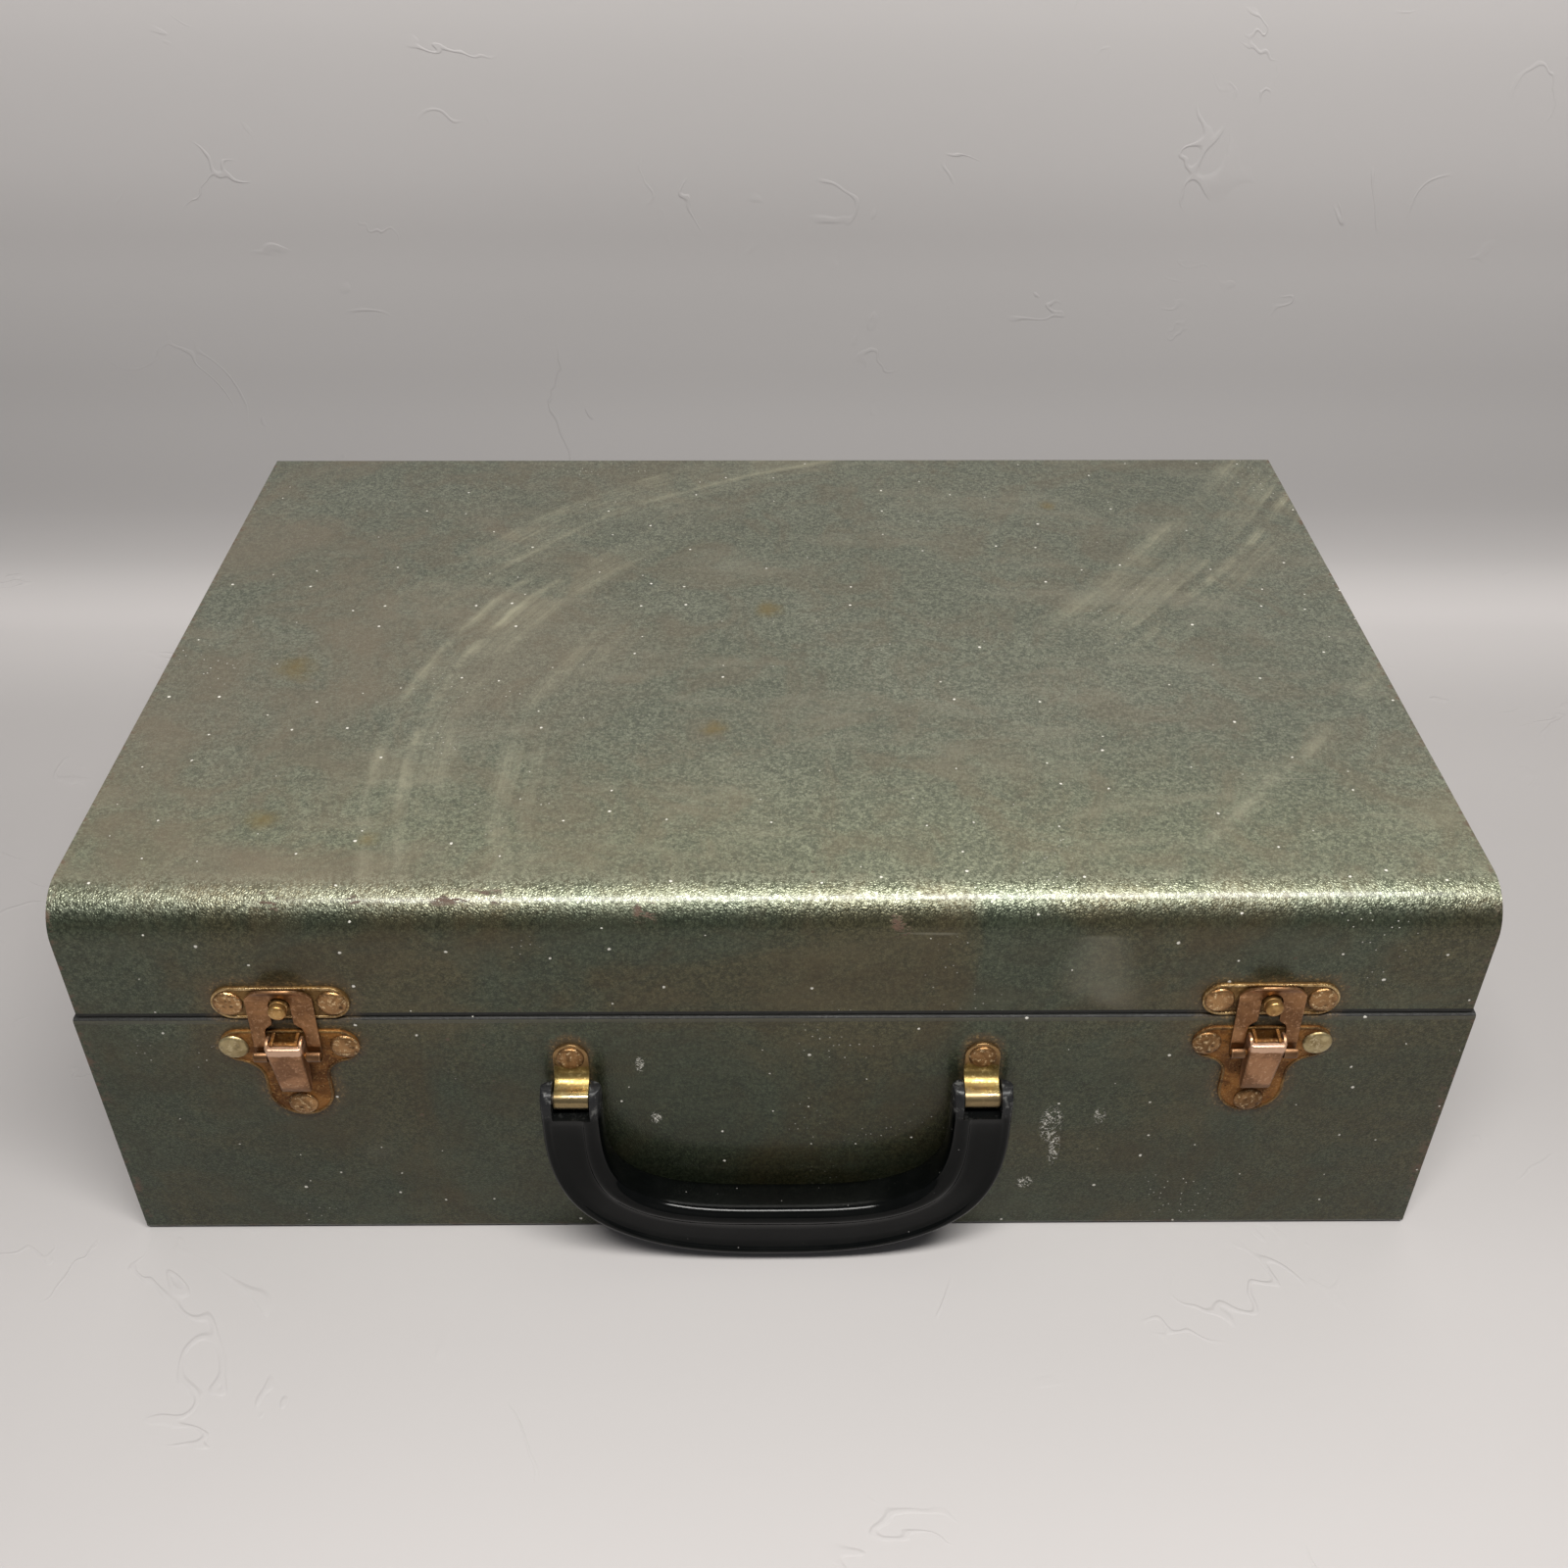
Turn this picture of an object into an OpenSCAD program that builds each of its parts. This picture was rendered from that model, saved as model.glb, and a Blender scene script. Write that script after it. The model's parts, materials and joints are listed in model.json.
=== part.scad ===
// Carrying case of painted sheet steel for sewing things, with two lift-out trays.
// Origin: middle of the flat base, on the surface the case stands on. +X right, +Y to the hinge, +Z up.

/* [Case] */
// Outside width of the body
case_w = 420; // [360:1:500]
// Outside depth of the body, without handle and hinge
case_d = 286; // [240:1:340]
// Height of the body, from the base to the seam
body_h = 98; // [92:1:130]
// Height from the seam to the top of the lid
lid_h = 44; // [40:1:60]
// Thickness of the steel sheet
sheet_t = 1; // [0.8:0.1:1.2]
// Outside radius of the lid's rounded front edge
lid_front_r = 14; // [8:1:24]
// Outside radius of the other bends
bend_r = 2.2; // [1.6:0.1:3]
// How far the lid stands in from the body at the front and the ends
lid_inset = 1; // [0.5:0.1:1.5]
// Gap between the lid's edge and the body's rim
seam_gap = 0.4; // [0.3:0.1:0.8]
// Height of the folded hem along the body's rim
hem_h = 6; // [4:0.5:8]
// Width of the flanges that join the end plates to the wrapped sheet
flange_w = 8; // [6:1:12]

/* [Rim strip and ledges] */
// How far the rim strip stands up into the lid
lip_h = 3.6; // [2:0.2:3.8]
// Thickness of the rim strip above the seam
lip_t = 0.8; // [0.6:0.1:1]
// Gap between the rim strip and the inside of the lid
lip_gap = 0.5; // [0.3:0.1:0.8]
// Height of the rim strip below the seam
lip_seat_h = 9; // [7:0.5:12]
// Width of each leg of the tray ledges
ledge_w = 10; // [8:1:14]

/* [Trays] */
// Height of a tray
tray_h = 30; // [24:1:34]
// Thickness of the tray sheet
tray_t = 0.8; // [0.6:0.1:1.2]
// Gap round and between the trays
tray_gap = 1.4; // [1:0.1:2.5]
// How far the tray rims stand below the seam
tray_drop = 2; // [1:0.5:5]
// How far the dividers stand below the tray rim
divider_drop = 2; // [1:0.5:4]
// Height and thickness added by the rolled tray rim
tray_rim = 1.6; // [1:0.1:2.5]
// Compartments in front of the left tray's cross divider
left_front_cells = 3; // [2:1:5]
// Compartments behind the left tray's cross divider
left_rear_cells = 2; // [1:1:5]
// Compartments in front of the right tray's cross divider
right_front_cells = 2; // [1:1:5]
// Compartments behind the right tray's cross divider
right_rear_cells = 1; // [1:1:5]

/* [Tray bails] */
// Radius of the bail wire
bail_r = 1.25; // [1:0.05:1.5]
// Length of a bail from its pivot to the middle of its crossbar
bail_len = 32; // [24:1:38]
// Distance between the middles of a bail's two legs
bail_w = 70; // [50:1:90]
// Radius of the bail's bends at the wire's middle
bail_bend_r = 8; // [5:1:12]

/* [Hinge] */
// Outside radius of the hinge knuckles
knuckle_r = 2.5; // [2.2:0.1:3]
// Radius of the hinge pin
hinge_pin_r = 1.25; // [1:0.05:1.4]
// Distance from one knuckle to the next
knuckle_pitch = 25; // [20:1:30]
// Number of knuckles, shared by the two leaves
knuckle_count = 16; // [12:2:16]
// Height of each hinge leaf
leaf_h = 14; // [12:1:18]
// Widest opening angle of the lid before the stops meet the body
lid_open_deg = 105; // [95:1:110]
// Width of each lid stop
stop_w = 20; // [14:1:30]
// Distance of the lid stops from the middle
stop_x = 150; // [100:1:150]

/* [Latches] */
// Distance of each latch from the middle
latch_x = 147; // [110:1:150]
// Thickness of the latch plates
plate_t = 1; // [0.8:0.1:1.2]
// Width of the strike plate
strike_w = 41; // [38:0.5:44]
// Height of the strike plate
strike_h = 12.4; // [11:0.2:13]
// Radius of the strike stud
stud_r = 2.7; // [2.2:0.1:3]
// Length of the stud in front of the strike plate
stud_len = 5; // [4:0.2:6]
// Width of the latch base across its ears
latch_base_w = 42; // [40:0.5:44]
// Width of the hasp
hasp_w = 20; // [18:0.5:21]
// Outside width of the lever
lever_w = 11; // [10:0.2:12]
// Gap between neighbouring latch pieces along their pins
latch_gap = 0.35; // [0.25:0.05:0.5]
// Radius of the two latch pins
latch_pin_r = 1; // [0.8:0.05:1.1]
// Radius of the rivet heads on the latches
rivet_head_r = 4.5; // [4:0.1:4.6]

/* [Handle] */
// Distance of each handle clip from the middle
clip_x = 62.8; // [55:0.2:70]
// Width of the clip strap
clip_w = 10.8; // [9:0.2:12]
// Thickness of the clip strap
clip_t = 1.2; // [1:0.1:1.4]
// Radius of the handle pins
handle_pin_r = 2; // [1.5:0.1:2.2]
// Thickness of each handle lug
lug_t = 3.4; // [3:0.1:4]
// Radius of the rounded lug ends
lug_r = 5.4; // [5:0.1:5.6]
// Depth of the grip from front to back
grip_depth = 14; // [12:0.5:16]
// Height of the grip's section at the middle
grip_h = 20.5; // [18:0.5:24]
// Height of the grip's lowest edge above the base
grip_low = 4.5; // [2:0.5:8]

/* [Fits] */
// Radial gap of a pin that turns in its bore
run_gap = 0.05; // [0.02:0.01:0.08]
// Radial gap of a rivet in its hole
rivet_gap = 0.05; // [0.02:0.01:0.1]

/* [Hidden] */
$fn = 48;
cut = 1;                                   // how far a cutting shape runs past what it cuts

paint = [0.27, 0.30, 0.26];
tray_paint = [0.34, 0.37, 0.32];
rust = [0.42, 0.26, 0.14];
brass = [0.66, 0.53, 0.27];
steel = [0.45, 0.44, 0.42];
black = [0.03, 0.03, 0.035];

front_y = -case_d / 2;
rear_y = case_d / 2;
total_h = body_h + lid_h;
hem_t = 2 * sheet_t;
flange_stop = 1;                           // how far the joining flanges stop short of the hem
lid_front_y = front_y + lid_inset;
lid_w = case_w - 2 * lid_inset;
lid_z = body_h + seam_gap;

// Rivets: a shank through the sheet, a domed head outside and a clinched tail inside.
rivet_r = 1.5;
rivet_head_t = 1.2;
rivet_tail_r = 2.2;
rivet_tail_t = 0.8;
hinge_rivet_head_r = 2.8;
hinge_rivet_head_t = 0.9;
hinge_rivet_r = 1.2;
hinge_rivet_tail_r = 1.8;

// Rim strip
lip_out = lid_inset + sheet_t + lip_gap;   // from the body's outside to the strip's outside
lip_in = lip_out + lip_t;                  // from the body's outside to the strip's inside

// Trays
tray_z = body_h - tray_drop - tray_h;
tray_front_y = front_y + lip_in + tray_gap;
tray_rear_y = rear_y - hem_t - tray_gap;
tray_d = tray_rear_y - tray_front_y;
tray_w = (case_w - 2 * lip_in - 3 * tray_gap) / 2;
tray_x = (tray_w + tray_gap) / 2;
tray_mid_y = (tray_front_y + tray_rear_y) / 2;
divider_top = tray_z + tray_h - divider_drop;
sheet_gap = 0.2;                           // gap between the ends of a divider and what it meets
bail_z = divider_top + bail_r + 0.2;        // the wire lies this little above the dividers
bail_ear_r = 2.3;
bail_ear_t = 1.2;
bail_ear_gap = 0.4;                        // gap between a bail's leg and its ear
bail_ear_root = 6;                         // how far the ears reach down along the divider
bail_foot = 1.4;                           // how far the wire's feet stand out of the ears

// Hinge
hinge_set_out = 0.3;                       // gap between the knuckles and the case's back
hinge_y = rear_y + knuckle_r + hinge_set_out;
hinge_z = body_h;
knuckle_gap = 0.3;                         // end gap between knuckles
knuckle_clear = 0.6;                       // gap between a knuckle and the other leaf
hinge_len = knuckle_pitch * knuckle_count;
leaf_t = sheet_t;
hinge_rivet_z = 9;                         // from the hinge axis to the rivets of each leaf
stop_t = 1.5;                              // thickness of the lid stops
stop_lip = 0.5;                            // how far a stop's lip reaches below the hinge axis
stop_rivet_lift = 1;                       // from the leaf's rivets up to the stops' rivets

// Latch places, on the front wall: u is the distance out from the wall, z the height
strike_z = lid_z + strike_h / 2 + 0.2;      // the plate starts just above the lid's edge
strike_rivet_dx = 15.4;
base_ear_rivet_dx = 16.8;
base_ear_z = body_h - 10.3;
base_ear_r = 6.5;
base_tail_z = body_h - 35.2;
base_lobe_r = 10;
base_lobe_z = body_h - 30.5;
base_fillet_r = 7;
pivot_u = 3.4 + plate_t;
pivot_z = body_h - 6.5;
link_u = pivot_u - 0.5;
link_z = body_h - 11.5;
ear_in = 3.1;                              // half distance between the base's two ears
ear_t = plate_t;
ear_r = 1.7;
lever_t = 0.9;
lever_face_top = 0.8;                      // from the pivot to the top of the lever's face
hasp_t = 0.9;
curl_r = latch_pin_r + run_gap + hasp_t;
hasp_tilt = 4.2;
hasp_slot = lever_w / 2 + latch_gap;
hasp_shoulder = 10.4;                      // from the link pin to the hasp's slot end
hasp_corner = 22;                          // from the link pin to the hasp's top corners
hasp_peak = 26;                            // from the link pin to the top of the hasp's arch
hasp_bend = 22.5;                          // from the link pin to the bend of its finger lip
hook_gap = 0.5;                            // gap between the hasp's notch and the stud

// Handle places
handle_u = 6.3;
handle_z = body_h - 28.2;
clip_rivet_z = body_h - 15.8;
clip_rivet_head_r = 4.3;
clip_end_r = clip_w / 2;
loop_in = handle_pin_r + run_gap;
loop_out = loop_in + clip_t;
fork_gap = 0.4;                            // gap between the strap and each lug
slot_w = clip_w + 2 * fork_gap;
arm_u0 = handle_u - lug_r;
arm_in = clip_x - slot_w / 2 - lug_t;      // inner side of the arms
arm_out = clip_x + slot_w / 2 + lug_t;     // outer side of the arms
slot_floor = 5.2;                          // from the handle pin to the floor of the fork
grip_u0 = 1.2;
grip_top = grip_low + grip_h;
bow_top = handle_z - 8;                    // where the straight arms turn into the bow
outer_bow_n = 2.5;                         // how square the bow's outside is; 2 is an ellipse
inner_bow_n = 3.2;                         // how square its inside is
grip_fade = 6;                             // how far above its top the grip keeps its full depth

// ---------- helpers ----------

// The radius of a bend's inner side, which never quite reaches a sharp corner.
function inside_bend(r, inset) = max(r - inset, 0.2);

// Draws a profile given as [distance out from the front wall, height] and runs it w wide along X.
module front_profile(w) {
    translate([0, front_y, 0]) rotate([90, 0, -90]) linear_extrude(w, center = true) children();
}

// Draws an outline given as [x, z] and makes it t thick, outwards from distance u in front of the wall.
module front_plate(t, u = 0) {
    translate([0, front_y - u, 0]) rotate([90, 0, 0]) linear_extrude(t) children();
}

// A cylinder along X, w long, about [distance out, height].
module cross_pin(r, w, u, z) {
    translate([0, front_y - u, z]) rotate([0, 90, 0]) cylinder(h = w, r = r, center = true);
}

// A rectangle with all four corners rounded, from its corner at the origin.
module round_rect(w, h, r) {
    translate([r, 0]) square([w - 2 * r, h]);
    translate([0, r]) square([w, h - 2 * r]);
    for (x = [r, w - r], y = [r, h - r]) translate([x, y]) circle(r);
}

// A rivet along Y through z = 0 of its own frame: head at y < 0, tail behind a stack grip thick.
module rivet(grip, r = rivet_r, head_r = rivet_head_r, head_t = rivet_head_t, tail_r = rivet_tail_r) {
    dome = [for (i = [0:6]) [head_r * cos(i * 15), 0.35 * head_t + 0.65 * head_t * sin(i * 15)]];
    rotate([90, 0, 0]) rotate_extrude() polygon(concat([[0, 0], [head_r, 0]], dome));
    rotate([-90, 0, 0]) cylinder(h = grip, r = r);
    translate([0, grip, 0]) rotate([-90, 0, 0]) cylinder(h = rivet_tail_t, r = tail_r);
}

// A rivet of the hinge and of the lid stops, smaller than the others.
module hinge_rivet(grip) {
    rivet(grip, hinge_rivet_r, hinge_rivet_head_r, hinge_rivet_head_t, hinge_rivet_tail_r);
}

// A hole for a rivet, along Y through everything within reach of the origin.
module rivet_hole(r = rivet_r) {
    rotate([90, 0, 0]) cylinder(h = 4 * sheet_t + 4 * cut, r = r + rivet_gap, center = true);
}

// Runs an outline given as [y, z] w long along X.
module along_x(w) {
    rotate([90, 0, 90]) linear_extrude(w, center = true) children();
}

// Puts children at every rivet place on the body's front wall: latches, then handle clips.
module body_front_rivet_places() {
    for (s = [-1, 1]) {
        for (dx = [-base_ear_rivet_dx, base_ear_rivet_dx])
            translate([s * latch_x + dx, front_y, base_ear_z]) children();
        translate([s * latch_x, front_y, base_tail_z]) children();
        translate([s * clip_x, front_y, clip_rivet_z]) children();
    }
}

// Puts children at the strike rivets of one side, on the lid's front.
module strike_rivet_places(s) {
    for (dx = [-strike_rivet_dx, strike_rivet_dx])
        translate([s * latch_x + dx, lid_front_y, strike_z]) children();
}

// Puts children at the rivets of one hinge leaf, dz above the hinge axis.
module hinge_rivet_places(dz) {
    for (i = [0:knuckle_count / 2 - 1])
        translate([-hinge_len / 2 + (2 * i + 1) * knuckle_pitch, rear_y, hinge_z + dz])
            rotate(180) children();
}

// Puts children at the rivets of the two lid stops.
module stop_rivet_places() {
    for (s = [-1, 1], dx = [-stop_w / 4, stop_w / 4])
        translate([s * stop_x + dx, rear_y, hinge_z + hinge_rivet_z + stop_rivet_lift])
            rotate(180) children();
}

// ---------- body ----------

// The body's outside in [y, z]: front, base and back as one bent sheet.
module body_outline(inset) {
    r = inside_bend(bend_r, inset);
    d = case_d - 2 * inset;
    translate([-d / 2 + r, inset]) square([d - 2 * r, body_h]);
    translate([-d / 2, inset + r]) square([d, body_h]);
    for (y = [-d / 2 + r, d / 2 - r]) translate([y, inset + r]) circle(r);
}

module body_wrap() {
    color(paint) difference() {
        along_x(case_w) difference() {
            intersection() {
                body_outline(0);
                union() {
                    translate([-case_d / 2, 0]) square([case_d, body_h - sheet_t]);
                    translate([-case_d / 2 + sheet_t, 0]) square([case_d - 2 * sheet_t, body_h]);
                    for (s = [-1, 1])
                        translate([s * (case_d / 2 - sheet_t), body_h - sheet_t]) circle(sheet_t);
                }
            }
            difference() {
                body_outline(sheet_t);
                for (s = [-1, 1])
                    translate([s * (case_d / 2 - hem_t / 2), body_h - hem_h / 2])
                        square([hem_t, hem_h], center = true);
            }
        }
        body_front_rivet_places() rivet_hole();
        hinge_rivet_places(-hinge_rivet_z) rivet_hole(hinge_rivet_r);
    }
}

// One end of the body: a plate inside the bent sheet, with a hem at the rim and joining flanges.
module body_end(s) {
    color(paint) union() {
        on_side(s) translate([case_w / 2 - sheet_t, 0, 0]) rotate([90, 0, 90]) linear_extrude(sheet_t)
            intersection() {
                body_outline(sheet_t);
                union() {
                    translate([-case_d / 2, 0]) square([case_d, body_h - hem_h]);
                    translate([-case_d / 2 + hem_t, 0]) square([case_d - 2 * hem_t, body_h]);
                }
            }
        on_side(s) translate([case_w / 2 - hem_t, -case_d / 2 + hem_t, body_h - hem_h])
            cube([hem_t - sheet_t, case_d - 2 * hem_t, hem_h]);
        on_side(s) translate([case_w / 2 - sheet_t - flange_w, 0, 0]) rotate([90, 0, 90])
            linear_extrude(flange_w) difference() {
                intersection() {
                    body_outline(sheet_t);
                    translate([-case_d / 2, 0]) square([case_d, body_h - hem_h - flange_stop]);
                }
                body_outline(2 * sheet_t);
            }
    }
}

// Mirrors its children for the left side, where s is -1.
module on_side(s) {
    if (s > 0) children();
    else mirror([1, 0, 0]) children();
}

// The strip inside the rim that keeps the lid in line: a front run and two end runs.
module rim_strip() {
    seat = hem_t;
    run_y0 = front_y + lip_out;
    run_y1 = rear_y - hem_t - 1;
    color(tray_paint) difference() {
        union() {
            translate([-case_w / 2 + seat, front_y + seat, body_h - lip_seat_h])
                cube([case_w - 2 * seat, run_y1 - front_y - seat, lip_seat_h]);
            translate([-case_w / 2 + lip_out, run_y0, body_h - lip_seat_h])
                cube([case_w - 2 * lip_out, run_y1 - run_y0, lip_seat_h + lip_h]);
        }
        translate([-case_w / 2 + lip_in, front_y + lip_in, body_h - lip_seat_h - cut])
            cube([case_w - 2 * lip_in, case_d, lip_seat_h + lip_h + 2 * cut]);
    }
}

// An angle along one long wall that carries the trays. s is -1 at the front and 1 at the back.
module tray_ledge(s) {
    ledge_len = case_w - 2 * (sheet_t + flange_w) - 1;
    wall_y = s * (case_d / 2 - sheet_t);
    color(tray_paint) difference() {
        for (leg = [[ledge_w, sheet_t], [sheet_t, ledge_w]])
            translate([-ledge_len / 2, s < 0 ? wall_y : wall_y - leg[0], tray_z - leg[1]])
                cube([ledge_len, leg[0], leg[1]]);
        body_front_rivet_places() translate([0, sheet_t, 0]) rotate([-90, 0, 0])
            cylinder(h = ledge_w, r = rivet_tail_r + 0.3);
    }
}

// The upright sheet that halves the deep well and carries the trays' inner edges.
module well_divider() {
    foot = 8;
    d = case_d - 2 * (sheet_t + ledge_w) - 1;
    color(tray_paint) union() {
        translate([-sheet_t / 2, -d / 2, sheet_t]) cube([sheet_t, d, tray_z - sheet_t]);
        translate([-sheet_t / 2, -d / 2, sheet_t]) cube([foot, d, sheet_t]);
        translate([-foot / 2, -d / 2, tray_z - sheet_t]) cube([foot, d, sheet_t]);
    }
}

// ---------- hinge ----------

// One leaf of the long hinge. first is 0 for the body's knuckles and 1 for the lid's.
module hinge_leaf(first, side) {
    color(steel) difference() {
        union() {
            difference() {
                translate([-hinge_len / 2, rear_y, side > 0 ? hinge_z + seam_gap : hinge_z - leaf_h])
                    cube([hinge_len, leaf_t, side > 0 ? leaf_h - seam_gap : leaf_h]);
                for (i = [1 - first:2:knuckle_count - 1])
                    translate([-hinge_len / 2 + i * knuckle_pitch - knuckle_gap, rear_y - cut,
                               hinge_z - knuckle_r - knuckle_clear])
                        cube([knuckle_pitch + 2 * knuckle_gap, leaf_t + 2 * cut,
                              2 * (knuckle_r + knuckle_clear)]);
            }
            for (i = [first:2:knuckle_count - 1])
                translate([-hinge_len / 2 + i * knuckle_pitch + knuckle_gap / 2, hinge_y, hinge_z])
                    rotate([0, 90, 0]) cylinder(h = knuckle_pitch - knuckle_gap, r = knuckle_r);
            for (i = [first:2:knuckle_count - 1])
                translate([-hinge_len / 2 + i * knuckle_pitch + knuckle_gap / 2, rear_y,
                           side > 0 ? hinge_z + seam_gap : hinge_z - knuckle_r])
                    cube([knuckle_pitch - knuckle_gap, leaf_t, knuckle_r - seam_gap]);
        }
        translate([0, hinge_y, hinge_z]) rotate([0, 90, 0])
            cylinder(h = hinge_len + 2 * cut, r = hinge_pin_r + run_gap, center = true);
        hinge_rivet_places(side * hinge_rivet_z) rivet_hole(hinge_rivet_r);
        if (side > 0) stop_rivet_places() rivet_hole(hinge_rivet_r);
    }
}

module hinge_pin() {
    color(steel) translate([0, hinge_y, hinge_z]) rotate([0, 90, 0])
        cylinder(h = hinge_len, r = hinge_pin_r, center = true);
}

module hinge_rivets(side) {
    color(steel) hinge_rivet_places(side * hinge_rivet_z)
        translate([0, -leaf_t, 0]) hinge_rivet(leaf_t + sheet_t);
}

// Bent lugs over the hinge whose lips meet the body's leaf when the lid is wide open.
module lid_stops() {
    t = stop_t;
    base = rear_y + leaf_t;
    tip_z = -stop_lip;
    // the lip's rear edge touches the body's leaf when the lid has turned lid_open_deg
    tip_y = (hinge_y - base + tip_z * sin(lid_open_deg)) / -cos(lid_open_deg);
    shelf = knuckle_r + knuckle_clear + 0.2;  // the lug's underside, above the hinge axis
    color(steel) difference() {
        for (s = [-1, 1]) translate([s * stop_x - stop_w / 2, 0, hinge_z]) {
            translate([0, base, shelf]) cube([stop_w, t, leaf_h + 1 - shelf]);
            translate([0, base, shelf]) cube([stop_w, hinge_y + tip_y - base, t]);
            translate([0, hinge_y + tip_y - t, tip_z]) cube([stop_w, t, shelf + t - tip_z]);
        }
        stop_rivet_places() rivet_hole(hinge_rivet_r);
    }
}

module lid_stop_rivets() {
    color(steel) stop_rivet_places()
        translate([0, -leaf_t - stop_t, 0]) hinge_rivet(leaf_t + stop_t + sheet_t);
}

// ---------- lid ----------

// The lid's outside in [y, z], inset all round by a wall thickness.
module lid_outline(inset) {
    y0 = lid_front_y + inset;
    y1 = rear_y - inset;
    z0 = lid_z - (inset > 0 ? cut : 0);
    z1 = total_h - inset;
    fr = inside_bend(lid_front_r, inset);
    rr = inside_bend(bend_r, inset);
    translate([y0, z0]) square([y1 - y0, z1 - fr - z0]);
    translate([y0 + fr, z0]) square([y1 - rr - y0 - fr, z1 - z0]);
    translate([y0 + fr, z0]) square([y1 - y0 - fr, z1 - rr - z0]);
    translate([y0 + fr, z1 - fr]) circle(fr, $fn = 96);
    translate([y1 - rr, z1 - rr]) circle(rr);
}

module lid_wrap() {
    color(paint) difference() {
        along_x(lid_w) difference() {
            lid_outline(0);
            lid_outline(sheet_t);
        }
        for (s = [-1, 1]) {
            strike_rivet_places(s) rivet_hole();
            translate([s * latch_x, lid_front_y, strike_z]) rivet_hole();
        }
        hinge_rivet_places(hinge_rivet_z) rivet_hole(hinge_rivet_r);
        stop_rivet_places() rivet_hole(hinge_rivet_r);
    }
}

// One end of the lid: a plate inside the bent sheet, with a flange that follows it.
module lid_end(s) {
    flange_z = body_h + lip_h + 1;
    color(paint) union() {
        on_side(s) translate([lid_w / 2 - sheet_t, 0, 0]) rotate([90, 0, 90]) linear_extrude(sheet_t)
            intersection() {
                lid_outline(sheet_t);
                translate([-case_d / 2, lid_z]) square([case_d, lid_h]);
            }
        on_side(s) translate([lid_w / 2 - sheet_t - flange_w, 0, 0]) rotate([90, 0, 90])
            linear_extrude(flange_w) intersection() {
                difference() {
                    lid_outline(sheet_t);
                    lid_outline(2 * sheet_t);
                }
                translate([-case_d / 2, flange_z]) square([case_d, lid_h]);
            }
    }
}

// ---------- latches ----------

// A plate with round ends, riveted to the lid.
module strike_plate(s) {
    r = strike_h / 2;
    color(rust) difference() {
        translate([s * latch_x, lid_inset, strike_z]) front_plate(plate_t) {
            square([strike_w - strike_h, strike_h], center = true);
            for (dx = [-1, 1]) translate([dx * (strike_w / 2 - r), 0]) circle(r);
        }
        strike_rivet_places(s) rivet_hole();
        translate([s * latch_x, lid_front_y, strike_z]) rivet_hole();
    }
}

// The stud that the hasp hooks over: a round head in front, a shank through plate and lid.
module strike_stud(s) {
    chamfer = 0.4;
    color(brass) translate([s * latch_x, lid_front_y, strike_z]) {
        translate([0, -plate_t, 0]) rotate([90, 0, 0]) cylinder(h = stud_len - chamfer, r = stud_r);
        translate([0, -plate_t - stud_len + chamfer, 0]) rotate([90, 0, 0])
            cylinder(h = chamfer, r1 = stud_r, r2 = stud_r - chamfer);
        translate([0, -plate_t, 0]) rotate([-90, 0, 0]) cylinder(h = plate_t + sheet_t, r = rivet_r);
        translate([0, sheet_t, 0]) rotate([-90, 0, 0]) cylinder(h = rivet_tail_t, r = rivet_tail_r);
    }
}

module strike_rivets(s) {
    color(rust) strike_rivet_places(s) translate([0, -plate_t, 0]) rivet(plate_t + sheet_t);
}

// The shield-shaped latch base: an upper bar with rounded ears, a round tail and hollow shoulders.
module latch_base_outline() {
    ear_y = base_ear_z;
    waist = ear_y - base_ear_r;
    difference() {
        union() {
            translate([-latch_base_w / 2, ear_y - base_ear_r])
                round_rect(latch_base_w, 2 * base_ear_r, base_ear_r - 0.2);
            translate([-base_lobe_r, base_lobe_z]) square([2 * base_lobe_r, waist - base_lobe_z + cut]);
            translate([0, base_lobe_z]) circle(base_lobe_r);
            translate([-base_lobe_r - base_fillet_r, waist - base_fillet_r])
                square([2 * (base_lobe_r + base_fillet_r), base_fillet_r + cut]);
        }
        for (dx = [-1, 1])
            translate([dx * (base_lobe_r + base_fillet_r), waist - base_fillet_r]) circle(base_fillet_r);
    }
}

module latch_base(s) {
    color(rust) difference() {
        translate([s * latch_x, 0, 0]) union() {
            front_plate(plate_t) latch_base_outline();
            for (dx = [-1, 1]) translate([dx * (ear_in + ear_t / 2), 0, 0]) {
                front_profile(ear_t) {
                    translate([plate_t / 2, pivot_z - ear_r]) square([pivot_u - plate_t / 2, 2 * ear_r]);
                    translate([pivot_u, pivot_z]) circle(ear_r);
                }
            }
        }
        body_front_rivet_places() rivet_hole();
        translate([s * latch_x, 0, 0]) cross_pin(latch_pin_r + run_gap, lever_w, pivot_u, pivot_z);
    }
}

module latch_rivets(s) {
    color(rust) {
        for (dx = [-base_ear_rivet_dx, base_ear_rivet_dx])
            translate([s * latch_x + dx, front_y - plate_t, base_ear_z]) rivet(plate_t + sheet_t);
        translate([s * latch_x, front_y - plate_t, base_tail_z]) rivet(plate_t + sheet_t);
    }
}

module latch_pivot_pin(s) {
    color(steel) translate([s * latch_x, 0, 0]) cross_pin(latch_pin_r, lever_w, pivot_u, pivot_z);
}

// The lever's side view as [u, z] about its pivot: a face that slopes in to the finger end.
lever_side = [[-1.9, 1.9], [1.2, 2.2], [2.95, 1.1], [3.1, -0.6], [2.6, -6], [1.2, -15.5], [0.2, -20.2],
              [-0.8, -20.6], [-1.6, -19.6], [-1.8, -17], [-2.6, -14], [-2.8, -8], [-2.8, -2]];
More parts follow.
